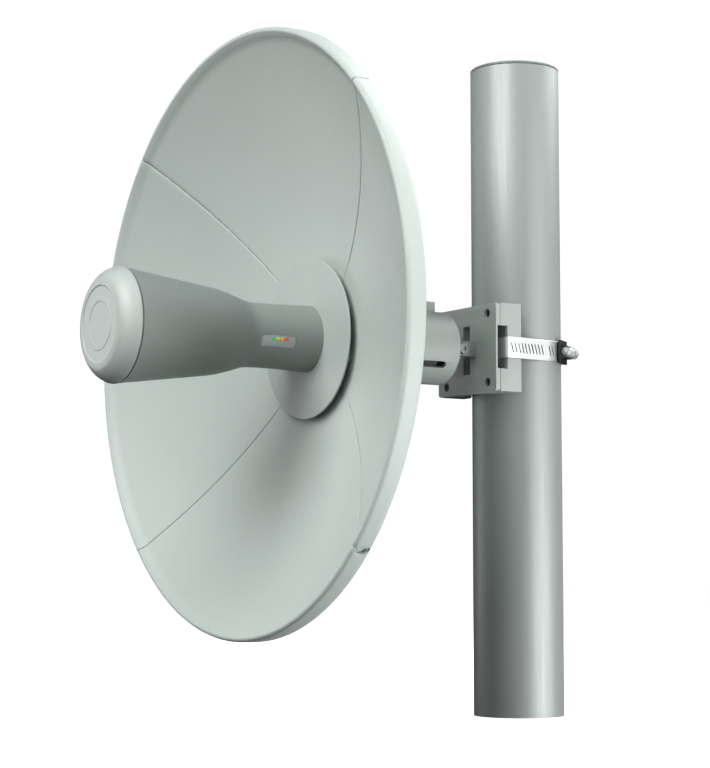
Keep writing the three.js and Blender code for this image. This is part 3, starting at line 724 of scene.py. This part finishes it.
def build_disc():
    hole = NECK_AND_BARREL[0][0] + 0.06
    rear = DISC_FACE_Y + DISC_THICKNESS
    edge = [
        (DISC_RADIUS - 0.6 + 0.6 * math.cos(t), DISC_FACE_Y + 0.6 + 0.6 * math.sin(t))
        for t in [math.radians(-90 + 15 * i) for i in range(7)]
    ]
    disc = revolve("centre_disc", [
        (SOCKET_BORE + 0.4, rear), (SOCKET_BORE + 0.4, DISC_FACE_Y + 0.9),
        (hole, DISC_FACE_Y + 0.9),
        (hole, DISC_FACE_Y), *edge, (DISC_RADIUS, DISC_FACE_Y + DISC_EDGE - 0.3),
        (DISC_RADIUS - 0.3, DISC_FACE_Y + DISC_EDGE), (DISC_RADIUS - 5, rear),
    ], sides=SMOOTH_SIDES)
    seat = dish_front(SCREW_RING - 4.5) - GAP - 1
    bosses = [rod("boss", "y", 4.5, rear - 0.6, seat, ring_place(t), 32) for t in SCREW_TURNS]
    joined(disc, gathered("bosses", bosses))
    shown(softened(disc, 0, angle=40), "antenna", ["base_disc"], DISC)


# ---------------------------------------------------------------- socket


def build_socket():
    collar = PETAL_INNER - GAP
    collar_front = DISC_FACE_Y + DISC_THICKNESS + GAP
    wall = SOCKET_RADIUS - SOCKET_BORE
    steps = 6
    seat = [FLANGE_RADIUS + (collar - FLANGE_RADIUS) * i / steps for i in range(steps + 1)]
    quarter_turns = [math.radians(15 * i) for i in range(7)]
    rear_round = [
        (SOCKET_RADIUS - SOCKET_ROUND * (1 - math.sin(t)),
         SOCKET_REAR_Y - SOCKET_ROUND * (1 - math.cos(t)))
        for t in quarter_turns
    ]
    root_fillet = [
        (SOCKET_RADIUS + FLANGE_FILLET * (1 - math.cos(t)),
         FLANGE_REAR_Y + FLANGE_FILLET * (1 - math.sin(t)))
        for t in quarter_turns
    ]
    body = revolve("rear_socket", [
        (0, SOCKET_REAR_Y), *rear_round, *root_fillet,
        (FLANGE_RADIUS - 0.8, FLANGE_REAR_Y), (FLANGE_RADIUS, FLANGE_REAR_Y - 0.8),
        *[(r, dish_back(r) + GAP) for r in seat],
        (collar, collar_front), (SOCKET_BORE, collar_front),
        (SOCKET_BORE, SOCKET_REAR_Y - wall), (0, SOCKET_REAR_Y - wall),
    ])
    tongue_outline = [(SOCKET_REAR_Y - 1, -15), (SOCKET_REAR_Y + 1, -15)]
    tongue_outline += circle(TONGUE_RADIUS, 24, (PIVOT_Y, 0), -math.pi / 3, math.pi / 3)
    tongue_outline += [(SOCKET_REAR_Y + 1, 15), (SOCKET_REAR_Y - 1, 15)]
    tongue = prism("tongue", tongue_outline, "x", -TONGUE_HALF_X, TONGUE_HALF_X)
    rib_outline = [
        (FLANGE_REAR_Y + 40, SOCKET_RADIUS - 1), (FLANGE_REAR_Y - 1, SOCKET_RADIUS - 1),
        (FLANGE_REAR_Y - 1, FLANGE_RADIUS - 3), (FLANGE_REAR_Y + 3, FLANGE_RADIUS - 3),
    ]
    ribs = [
        round_dish(prism("rib", rib_outline, "x", -1.5, 1.5), 360 / RIB_COUNT * i)
        for i in range(RIB_COUNT)
    ]
    boss_low, boss_high = AXIS_Z - PORT_BOSS_DROP, AXIS_Z - SOCKET_BORE - 0.5
    boss = rod("boss", "z", 14, boss_low, boss_high, (0, PORT_Y), 64)
    joined(body, tongue, boss, *ribs)
    cutters = [rod("hole", "z", PORT_BORE, AXIS_Z - 40, AXIS_Z - 10, (0, PORT_Y), 64)]
    cutters.append(rod("hole", "x", BOLT_HOLE, -20, 20, (PIVOT_Y, 0), 32))
    cutters.append(block("hole", (-5, TAB_LOW.y - GAP, 10), (5, TAB_HIGH.y + GAP, 40)))
    for degrees in GRIP_SLOT_TURNS:
        outline = circle(GRIP_SLOT_HALF, 24, (-79.6, 0), -math.pi / 2, math.pi / 2)
        outline += [(-128, GRIP_SLOT_HALF), (-128, -GRIP_SLOT_HALF)]
        slot = prism("slot", outline, "x", SOCKET_BORE - 3, SOCKET_RADIUS + 3)
        cutters.append(round_dish(slot, degrees))
    carved(body, *cutters)
    shown(softened(body, 0.35, 2, 38), "antenna", ["socket_housing"], SHADED_HOUSING)


def build_latch():
    top = TAB_HIGH.z - AXIS_Z
    middle_y = (TAB_LOW.y + TAB_HIGH.y) / 2
    half_y = (TAB_HIGH.y - TAB_LOW.y) / 2
    half_x, foot_half_x = 4.6, 6.5
    foot_low, foot_high = 16.4, 18.4
    outline = [(x, middle_y + y) for x, y in rounded_rectangle(half_x, half_y, 1.0)]
    tab = prism("thumb_latch", outline, "z", AXIS_Z + foot_high - 0.9, AXIS_Z + top)
    foot_corner = (foot_half_x, TAB_HIGH.y, foot_high)
    joined(tab, block("foot", (-foot_half_x, TAB_LOW.y, foot_low), foot_corner))
    groove_radius, spacing = 0.55, 1.6
    grooves = [
        rod("groove", "x", groove_radius, -6, 6, (TAB_LOW.y + spacing * i, top), 20)
        for i in range(1, 5)
    ]
    carved(tab, *grooves)
    shown(softened(tab, 0.3, 2, 40), "latch", ["latch_tab"], SHADED_HOUSING)


def build_grommet():
    low = GROMMET_LOW.z
    shoulder = AXIS_Z - PORT_BOSS_DROP - GAP
    grommet = revolve("port_seal", [
        (7.8, low + 0.3), (8.1, low), (12.2, low), (13, low + 0.8), (13, shoulder),
        (10.8, shoulder), (10.8, GROMMET_HIGH.z), (7.8, GROMMET_HIGH.z),
    ], axis="z", sides=72, centre=(0, PORT_Y))
    shown(softened(grommet, 0.2), "antenna", ["port_grommet"], RUBBER)


def build_reflector_screws():
    base, end = FLANGE_REAR_Y + GAP, FLANGE_REAR_Y - 12
    dome = [(0, 2.4), (1.6, 2.3), (2.6, 1.8), (3.1, 0.9), (3.2, 0)]
    shank = [(1.5, base), (1.5, end), (0, end)]
    outline = [(radius, base + rise) for radius, rise in dome] + shank
    for i, degrees in enumerate(SCREW_TURNS):
        centre = ring_place(degrees)
        head = revolve("flange_screw_%d" % (i + 1), outline, sides=36, centre=centre)
        for turn in (0, 90):
            bar = block("bar", (-1.7, base + 1.3, -0.35), (1.7, base + 3, 0.35))
            turned(bar, "Y", math.radians(turn + degrees), (0, 0, AXIS_Z))
            bar.data.transform(Matrix.Translation(Vector((centre[0], 0, centre[1])) * MM))
            carved(head, bar)
        node = "reflector_screw_%d" % (i + 1)
        shown(softened(head, 0), "antenna", [node], STAINLESS)


# ---------------------------------------------------------------- radio


def along_radio(distance):
    return DISC_FACE_Y - distance


def window_pane(name, margin, inner, outer):
    """A rounded window whose faces follow the neck between two radii."""
    half = (WINDOW_END - WINDOW_START) / 2 + margin
    middle = along_radio((WINDOW_START + WINDOW_END) / 2)
    outline = rounded_rectangle(half, WINDOW_HEIGHT / 2 + margin, WINDOW_CORNER)
    bar = prism(name, [(middle + a, b) for a, b in outline], "x", 12, 30)
    low, high = middle - 30, middle + 30
    ring = revolve("ring", [(inner, low), (outer, low), (outer, high), (inner, high)], sides=240)
    combined(bar, [round_dish(ring, 0.4)], "INTERSECT")
    return round_dish(bar, math.degrees(WINDOW_TURN))


def build_shell():
    outside = [(r, along_radio(d)) for r, d in spline(NECK_AND_BARREL, 7)]
    inside = [(r - SHELL_WALL, y) for r, y in outside[::3] if along_radio(BARREL_END - 9) < y]
    mouth = CAP_RADIUS - 3.4
    rear_radius = SOCKET_BORE - 0.9
    rear = SHELL_HIGH.y
    tail = along_radio(-6)
    shell = revolve("neck_and_barrel", [
        (0, rear), (rear_radius - 2, rear), (rear_radius, rear - 2), (rear_radius, tail),
        *outside, (mouth, along_radio(BARREL_END)), (mouth, along_radio(BARREL_END - 7)),
        *reversed(inside), (rear_radius - SHELL_WALL, tail),
        (rear_radius - SHELL_WALL, rear - SHELL_WALL), (0, rear - SHELL_WALL),
    ], sides=SMOOTH_SIDES)
    port = rod("hole", "z", SHELL_PORT, AXIS_Z - 40, AXIS_Z - 12, (0, PORT_Y), 48)
    carved(shell, port, window_pane("recess", WINDOW_CLEARANCE, PANE_BACK - 0.4, 26))
    shown(softened(shell, 0, angle=32), "antenna", ["radio_shell"], SHADED_HOUSING)
    sleeve_radius, sleeve_end = rear_radius + 0.4, along_radio(-8)
    sleeve = revolve("tail_sleeve", [
        (rear_radius, rear), (sleeve_radius, rear - 0.4), (sleeve_radius, sleeve_end),
        (rear_radius, sleeve_end),
    ])
    port = rod("hole", "z", SLEEVE_PORT, AXIS_Z - 40, AXIS_Z - 12, (0, PORT_Y), 48)
    shown(softened(carved(sleeve, port), 0), "antenna", ["radio_shell"], RUBBER)


LED_ROW_MIDDLE = 32.2
LED_SPACING = 3.2
LED_HALF_LENGTH = 1.35
LED_HALF_HEIGHT = 0.95
LED_CORNER = 0.8
LED_RISE = 1.8
LED_GLOW = 0.3


def led_bar(name, index, margin, low, high):
    middle = along_radio(LED_ROW_MIDDLE + (index - 1.5) * LED_SPACING)
    sizes_with_margin = [n + margin for n in (LED_HALF_LENGTH, LED_HALF_HEIGHT, LED_CORNER)]
    outline = [(middle + a, LED_RISE + b) for a, b in rounded_rectangle(*sizes_with_margin)]
    return round_dish(prism(name, outline, "x", low, high), math.degrees(WINDOW_TURN))


def build_window():
    pane = window_pane("status_window", 0, PANE_BACK, PANE_FRONT)
    carved(pane, *[led_bar("hole", i, 0.15, 15, 30) for i in range(4)])
    shown(softened(pane, 0.12, 2, 50), "antenna", ["led_window"], LENS)
    for i, (name, color) in enumerate(LED_LOOKS):
        lamp = led_bar("status_light_%d" % (i + 1), i, 0, PANE_BACK - 0.1, PANE_FRONT + 0.2)
        shown(softened(lamp, 0.25, 2, 50), "antenna", ["status_led_%d" % (i + 1)],
              light_pipe(name, color, LED_GLOW))


def build_cap():
    face = 26.0
    spigot = CAP_RADIUS - 3.9
    shoulder = spline([
        (face, CAP_TIP), (CAP_RADIUS - 7.6, CAP_TIP - 1.2), (CAP_RADIUS - 3.2, CAP_TIP - 5),
        (CAP_RADIUS - 0.5, CAP_TIP - 10), (CAP_RADIUS, CAP_START + 0.3),
    ], 6)
    floor = CAP_TIP - 0.6
    emblem = [
        (0, floor), (13.8, floor), (14.3, floor + 0.3), (16.7, floor + 0.3), (17.2, floor),
        (23.6, floor), (24.5, CAP_TIP),
    ]
    inner = [
        (CAP_RADIUS - 0.4, CAP_START), (spigot, CAP_START),
        (spigot, BARREL_END - 5), (spigot - 2.4, BARREL_END - 5),
        (spigot - 2.4, CAP_TIP - 10), (spigot - 5, CAP_TIP - 3.4), (0, CAP_TIP - 3),
    ]
    outline = [(radius, along_radio(distance)) for radius, distance in emblem + shoulder + inner]
    cap = revolve("tip_cap", outline, sides=SMOOTH_SIDES)
    shown(softened(cap, 0, angle=24), "antenna", ["front_cap"], CAP)
    seal_inner = spigot + GAP
    seal_outer = CAP_RADIUS - 0.75
    low, high = along_radio(CAP_START - 0.05), along_radio(BARREL_END + 0.05)
    seal = revolve("cap_gasket", [
        (seal_inner, low), (seal_outer - 0.2, low), (seal_outer, (low + high) / 2),
        (seal_outer - 0.2, high), (seal_inner, high),
    ])
    shown(softened(seal, 0), "antenna", ["cap_seal"], SEAL)


# ---------------------------------------------------------------- bracket


def corners():
    return [(x * CORNER_X, z * CORNER_Z) for x in (-1, 1) for z in (-1, 1)]


FRAME_FRONT_Y = FRAME_LOW.y
FACE_FRONT_Y = FRAME_FRONT_Y - GAP - FACE_THICKNESS
FACE_BACK_Y = FACE_FRONT_Y + FACE_THICKNESS
BRACKET_HALF_X = FRAME_HIGH.x
BRACKET_HALF_Z = (FRAME_HIGH.z - FRAME_LOW.z) / 2
SLOT_FRONT_Y = FACE_FRONT_Y + 1.4
SLOT_REAR_Y = -33.8
SLOT_HALF_Z = 15.0


def side_slots(low_x, high_x, low_y, high_y):
    """Cutters for the band's slots, one on each side."""
    slots = []
    for side in (-1, 1):
        low, high = sorted((low_x * side, high_x * side))
        slots.append(block("slot", (low, low_y, -SLOT_HALF_Z), (high, high_y, SLOT_HALF_Z)))
    return slots


def build_face():
    front, back = FACE_FRONT_Y - 1, FACE_BACK_Y + 1
    outline = rounded_rectangle(BRACKET_HALF_X, BRACKET_HALF_Z, 2.2)
    plate = prism("front_plate", outline, "y", FACE_FRONT_Y, FACE_BACK_Y)
    ear_outline = [(FACE_FRONT_Y + 1, -EAR_HALF), (FACE_FRONT_Y + 1, EAR_HALF)]
    ear_outline += circle(EAR_HALF, 24, (PIVOT_Y, 0), math.pi / 2, 1.5 * math.pi)
    ears = [
        prism("ear", ear_outline, "x", low, high)
        for low, high in ((EAR_IN, EAR_OUT), (-EAR_OUT, -EAR_IN))
    ]
    x, y, z = (n + POCKET_WALL for n in (POCKET_HALF_X, POCKET_FLOOR_Y, POCKET_HALF_Z))
    joined(plate, *ears, block("pocket", (-x, FACE_FRONT_Y + 1, -z), (x, y, z)))
    cutters = [rod("hole", "x", BOLT_HOLE, -20, 20, (PIVOT_Y, 0), 32)]
    for place in corners():
        cutters.append(rod("hole", "y", SCREW_SHANK_BORE, front, back, place, 32))
        seat = FACE_FRONT_Y + SCREW_HEAD_DEPTH
        cutters.append(rod("hole", "y", SCREW_HEAD_BORE, front, seat, place, 32))
    x, z = POCKET_HALF_X, POCKET_HALF_Z
    cutters.append(block("pocket", (-x, front, -z), (x, POCKET_FLOOR_Y, z)))
    cutters += side_slots(29, 36, SLOT_FRONT_Y, back)
    carved(plate, *cutters)
    shown(softened(plate, 0.45, 3, 40), "bracket", ["bracket_face"], CASTING)


def jaw_outline():
    """Toothed flanks that meet in front of the mast."""
    teeth = 8
    flank = math.radians(35)
    root = -(MAST_RADIUS + GAP) / math.cos(flank)
    tooth = 1.1
    pitch = (CORNER_X + 0.6) / math.cos(flank) / teeth
    right = []
    for i in range(teeth):
        start, middle = i * pitch, (i + 0.5) * pitch
        right.append((start * math.cos(flank), root + start * math.sin(flank)))
        right.append((
            middle * math.cos(flank) + tooth * math.sin(flank),
            root + middle * math.sin(flank) - tooth * math.cos(flank),
        ))
    rear = FRAME_HIGH.y
    right = [(x, y) for x, y in right if y < rear - 0.4]
    left = [(-x, y) for x, y in reversed(right[1:])]
    half = BRACKET_HALF_X - 1
    return [
        (-half, FRAME_FRONT_Y), (-half, rear), (-CORNER_X - 1, rear), *left, *right,
        (CORNER_X + 1, rear), (half, rear), (half, FRAME_FRONT_Y),
    ]


def build_frame():
    wall, jaw = 2.8, 6.0
    high = BRACKET_HALF_Z
    pieces = []
    for side in (-1, 1):
        low_x, high_x = sorted((side * BRACKET_HALF_X, side * (BRACKET_HALF_X - wall)))
        pieces.append(block("wall", (low_x, FRAME_FRONT_Y, -high), (high_x, FRAME_HIGH.y, high)))
    outline = jaw_outline()
    pieces.append(prism("jaw", outline, "z", AXIS_Z - high, AXIS_Z - high + jaw))
    pieces.append(prism("jaw", outline, "z", AXIS_Z + high - jaw, AXIS_Z + high))
    front = FRAME_FRONT_Y
    pieces += [rod("boss", "y", 4.2, front, front + 9, place, 32) for place in corners()]
    body = joined(*pieces)
    body.name = "jaw_frame"
    cutters = [
        rod("bore", "y", SCREW_THREAD_BORE, front - 1, front + 7, place, 24)
        for place in corners()
    ]
    cutters += side_slots(30, 37, front - 1, SLOT_REAR_Y)
    carved(body, *cutters)
    shown(softened(body, 0.3, 2, 40), "bracket", ["bracket_frame"], CASTING)


def build_corner_screws():
    top = FACE_FRONT_Y + 1.2
    base = FACE_FRONT_Y + SCREW_HEAD_DEPTH - GAP
    for i, place in enumerate(corners()):
        screw = revolve("plate_screw_%d" % (i + 1), [
            (0, top), (2.4, top + 0.05), (2.7, top + 0.35), (2.7, base), (1.5, base),
            (1.5, FACE_BACK_Y + 6), (0, FACE_BACK_Y + 6),
        ], sides=32, centre=place)
        drive = rod("drive", "y", 1.2, FACE_FRONT_Y - 1, FACE_FRONT_Y + 1.6, place, 6)
        carved(screw, drive)
        # The near-black screw material paints the shade in the counterbores.
        shown(softened(screw, 0), "bracket", ["corner_screw_%d" % (i + 1)], SCREW_PAINTED_SHADE)


def build_pivot():
    head = rod("tilt_bolt", "x", 4.2, EAR_OUT + GAP, EAR_OUT + 3.2, (PIVOT_Y, 0), 48)
    shank = rod("shank", "x", 2.5, -EAR_OUT - 5.5, EAR_OUT + 1, (PIVOT_Y, 0), 48)
    joined(head, shank)
    carved(head, rod("drive", "x", 1.4, EAR_OUT + 1.6, EAR_OUT + 5, (PIVOT_Y, 0), 6))
    shown(softened(head, 0.8, 3, 40), "bracket", ["pivot_bolt"], BOLT)
    nut = rod("tilt_nut", "x", 4.6, -EAR_OUT - 4.4, -EAR_OUT - GAP, (PIVOT_Y, 0), 6)
    carved(nut, rod("bore", "x", BOLT_HOLE, -30, 0, (PIVOT_Y, 0), 32))
    shown(softened(nut, 0.3, 2, 25), "bracket", ["pivot_nut"], BOLT)
    for name, low, high in (("left", -4.9, -4.3), ("right", 4.3, 4.9)):
        washer = rod("tilt_washer_" + name, "x", 7, low, high, (PIVOT_Y, 0), 48)
        carved(washer, rod("bore", "x", BOLT_HOLE, low - 1, high + 1, (PIVOT_Y, 0), 32))
        softened(washer, 0.1, 1, 40)
        shown(washer, "bracket", ["pivot_washer_" + name], STAINLESS)


# ---------------------------------------------------------------- hose clamp


def band_path(offset):
    """Places round the band's inner line, offset outwards."""
    radius = BAND_RADIUS + offset
    side_x = BRACKET_HALF_X + GAP + offset
    front_y = BAND_FRONT_Y - offset
    bend = 1.2 + offset
    path = circle(radius, 121, (0, 0), BAND_LEAVES_MAST, math.pi - BAND_LEAVES_MAST)
    path += [(-side_x, FRAME_HIGH.y - 1)]
    path += circle(bend, 7, (-side_x + bend, front_y + bend), math.pi, 1.5 * math.pi)
    path += circle(bend, 7, (side_x - bend, front_y + bend), 1.5 * math.pi, 2 * math.pi)
    path += [(side_x, FRAME_HIGH.y - 1)]
    return path


def build_band():
    half = BAND_WIDTH / 2
    inner, outer = band_path(0), band_path(BAND_THICKNESS)
    edge = 0.18
    middle_in, middle_out = band_path(edge), band_path(BAND_THICKNESS - edge)
    rows = [
        (middle_in, half), (middle_out, half), (outer, half - edge), (outer, -half + edge),
        (middle_out, -half), (middle_in, -half), (inner, -half + edge), (inner, half - edge),
    ]
    points, faces = [], []
    count = len(inner)
    for line, z in rows:
        points += [(x, y, AXIS_Z + z) for x, y in line]
    for k in range(len(rows)):
        a, b = k * count, (k + 1) % len(rows) * count
        for i in range(count):
            j = (i + 1) % count
            faces.append([a + i, a + j, b + j, b + i])
    band = new_object("steel_band", points, faces)
    carved(band, gathered("slots", worm_slots()))
    shown(softened(band, 0, angle=35), "bracket", ["clamp_band"], BAND)


def worm_slots():
    """Slanted slots along the band from the bracket's side to past the worm housing."""
    slots = []
    tangent_x = BAND_RADIUS * math.cos(BAND_LEAVES_MAST)
    tangent_y = BAND_RADIUS * math.sin(BAND_LEAVES_MAST)
    side_x = BRACKET_HALF_X + GAP
    slant = math.radians(-16)
    outline = rounded_rectangle(0.5, 3.6, 0.45, 4)

    def slot(place, outward):
        normal = Vector((math.cos(outward), math.sin(outward), 0))
        side = Vector((-normal.y, normal.x, 0))
        points = []
        for depth in (-1.5, 2.5):
            for a, b in outline:
                across = a * math.cos(slant) + b * math.sin(slant)
                up = -a * math.sin(slant) + b * math.cos(slant)
                point = place + normal * depth + side * across
                points.append((point.x, point.y, AXIS_Z + up))
        slots.append(new_object("slot", points, slab_faces(len(outline))))

    start_y = FRAME_HIGH.y - 8.5
    straight_slots = int((tangent_y - start_y) / THREAD_PITCH)
    for i in range(straight_slots):
        y = start_y + i * THREAD_PITCH
        share = max(0.0, (y - FRAME_HIGH.y) / (tangent_y - FRAME_HIGH.y))
        slot(Vector((side_x + share * (tangent_x - side_x), y, 0)), 0)
    first_turn, round_slots = math.radians(8), 26
    for i in range(round_slots):
        turn = first_turn + i * THREAD_PITCH / BAND_RADIUS
        slot(Vector((math.cos(turn), math.sin(turn), 0)) * BAND_RADIUS, turn)
    return slots


def build_worm_housing():
    """A saddle over the band with a low cradle, bored for the worm."""
    base = BAND_RADIUS + BAND_THICKNESS + 0.4
    saddle = block("worm_saddle", (base, -7, -8.2), (base + 2.2, 7, 8.2))
    cradle = block("cradle", (base, -6.2, -4.6), (WORM_AXIS, 7, 4.6))
    joined(saddle, cradle)
    carved(saddle, rod("bore", "y", 3.75, -10, 10, (WORM_AXIS, 0), 64))
    softened(saddle, 0.4, 2, 40)
    turned(saddle, "Z", HOUSING_TURN)
    # The near-black material paints the shade that the housing sits in.
    shown(saddle, "bracket", ["worm_housing"], SHADE_BLACK)


def build_worm():
    """A screw with a real helix: its crest moves along by one pitch a turn."""
    steps, sides, root, rise = 64, 48, 3.15, 0.35
    low, high = -5.6, 7.6
    points = [(WORM_AXIS, low, AXIS_Z)]
    for i in range(steps + 1):
        y = low + (high - low) * i / steps
        for j in range(sides):
            turn = 2 * math.pi * j / sides
            phase = turn - 2 * math.pi * y / THREAD_PITCH
            radius = root + rise * (0.5 + 0.5 * math.cos(phase)) ** 0.7
            x, up = radius * math.cos(turn), radius * math.sin(turn)
            points.append((WORM_AXIS + x, y, AXIS_Z + up))
    points.append((WORM_AXIS, high, AXIS_Z))
    faces = []
    for j in range(sides):
        k = (j + 1) % sides
        faces.append([0, 1 + j, 1 + k])
        last = 1 + steps * sides
        faces.append([len(points) - 1, last + k, last + j])
        for i in range(steps):
            a = 1 + i * sides
            faces.append([a + j, a + k, a + sides + k, a + sides + j])
    thread = new_object("thread", points, faces)
    collar = rod("collar", "y", 4.3, 7.5, 8.6, (WORM_AXIS, 0), 64)
    head = rod("clamp_screw", "y", 4.2, 8.2, 14, (WORM_AXIS, 0), 6)
    joined(head, collar)
    slot = block("slot", (WORM_AXIS - 5, 12.4, -0.6), (WORM_AXIS + 5, 15, 0.6))
    carved(head, slot)
    softened(head, 0.35, 2, 28)
    thread.data.shade_smooth()
    screw = gathered("clamp_screw", [head, thread])
    turned(screw, "Z", HOUSING_TURN)
    shown(screw, "worm", ["worm_screw"], STAINLESS)


def paint_inner_nodes():
    """Plain CAD pieces that stay: the radio's insides and the network socket."""
    looks = {
        "ethernet_jack": TIN, "radio_shield": TIN, "processor_shield": TIN,
        "feed_post": TIN, "splash_plate": TIN, "circuit_board": BOARD,
    }
    for node, material in looks.items():
        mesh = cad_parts[node].data
        mesh.materials.clear()
        mesh.materials.append(material)


# ---------------------------------------------------------------- studio


SOFTBOX_DISTANCE = 2.0
SOFTBOX_AIM_Y = -150
FILL_STRENGTH = 0.003
BACKDROP_STRENGTH = 1.05
# Name, azimuth and elevation in degrees, side in metres, watts.
SOFTBOXES = [
    ("key", 16, 38, 1.3, 44),
    ("front", 35, 12, 1.3, 13),
    ("left", 300, 0, 1.2, 7.5),
    ("right", 115, 5, 1.6, 19),
    ("low_right", 122, -26, 1.4, 42),
    ("top", 0, 65, 1.4, 6),
    ("top_right", 90, 60, 1.4, 5),
    ("back", 180, 45, 1.4, 40),
]


def softbox(name, azimuth, elevation, side, watts):
    """An area light that faces the dish. Azimuth 0 is in front of it and 90 on its right."""
    light = bpy.data.lights.new(name, "AREA")
    light.shape = "RECTANGLE"
    light.size = light.size_y = side
    light.energy = watts
    obj = bpy.data.objects.new(name, light)
    bpy.context.scene.collection.objects.link(obj)
    turn, rise = math.radians(azimuth), math.radians(elevation)
    level = math.cos(rise)
    away = Vector((math.sin(turn) * level, -math.cos(turn) * level, math.sin(rise)))
    obj.location = Vector((0, SOFTBOX_AIM_Y, AXIS_Z)) * MM + away * SOFTBOX_DISTANCE
    obj.rotation_euler = away.to_track_quat("Z", "Y").to_euler()


def build_world():
    """A white backdrop that the camera sees, and a nearly dark one that lights the object."""
    world = bpy.data.worlds.new("studio")
    bpy.context.scene.world = world
    world.use_nodes = True
    nodes, links = world.node_tree.nodes, world.node_tree.links
    dim = nodes["Background"]
    dim.inputs["Color"].default_value = (1, 1, 1, 1)
    dim.inputs["Strength"].default_value = FILL_STRENGTH
    white = nodes.new("ShaderNodeBackground")
    white.inputs["Color"].default_value = (1, 1, 1, 1)
    white.inputs["Strength"].default_value = BACKDROP_STRENGTH
    path = nodes.new("ShaderNodeLightPath")
    mix = nodes.new("ShaderNodeMixShader")
    links.new(path.outputs["Is Camera Ray"], mix.inputs["Fac"])
    links.new(dim.outputs["Background"], mix.inputs[1])
    links.new(white.outputs["Background"], mix.inputs[2])
    links.new(mix.outputs["Shader"], nodes["World Output"].inputs["Surface"])


def build_studio():
    """A white floor that doesn't light the object, the backdrop and the lights."""
    half, top = 9000, -0.2
    outline = [(-half, -half), (half, -half), (half, half), (-half, half)]
    floor = prism("floor", outline, "z", top - 40, top)
    pale = Look("studio_floor", (0.86, 0.87, 0.87), 0.7)
    pale.tint(pale.noise(900, 2), 0.01)
    pale.setting("Emission Color", (1, 1, 1, 1)).setting("Emission Strength", 1.0)
    floor.data.materials.append(pale.material)
    floor.visible_diffuse = False
    floor.visible_glossy = False
    floor.visible_shadow = False
    build_world()
    for name, azimuth, elevation, side, watts in SOFTBOXES:
        softbox(name, azimuth, elevation, side, watts)
    bpy.context.scene.view_settings.view_transform = "Standard"


LENS_LENGTH = 93.75
SENSOR_WIDTH = 36
CAMERA_X, CAMERA_Y = 1.13243, -0.86661
CAMERA_BELOW_AXIS = 0.15653
CAMERA_RISE = 0.0950
CAMERA_HEADING = 0.99856


def build_camera():
    camera = bpy.data.cameras.new("camera")
    camera.lens = LENS_LENGTH
    camera.sensor_width = SENSOR_WIDTH
    camera.clip_end = 60
    obj = bpy.data.objects.new("camera", camera)
    bpy.context.scene.collection.objects.link(obj)
    obj.location = (CAMERA_X, CAMERA_Y, AXIS_Z * MM - CAMERA_BELOW_AXIS)
    obj.rotation_euler = (math.pi / 2 + CAMERA_RISE, 0, CAMERA_HEADING)
    bpy.context.scene.camera = obj


# ---------------------------------------------------------------- assembly

build_camera()
build_mast()
build_reflector()
build_disc()
build_socket()
build_latch()
build_grommet()
build_reflector_screws()
build_shell()
build_window()
build_cap()
build_face()
build_frame()
build_corner_screws()
build_pivot()
build_band()
build_worm_housing()
build_worm()
paint_inner_nodes()
build_studio()
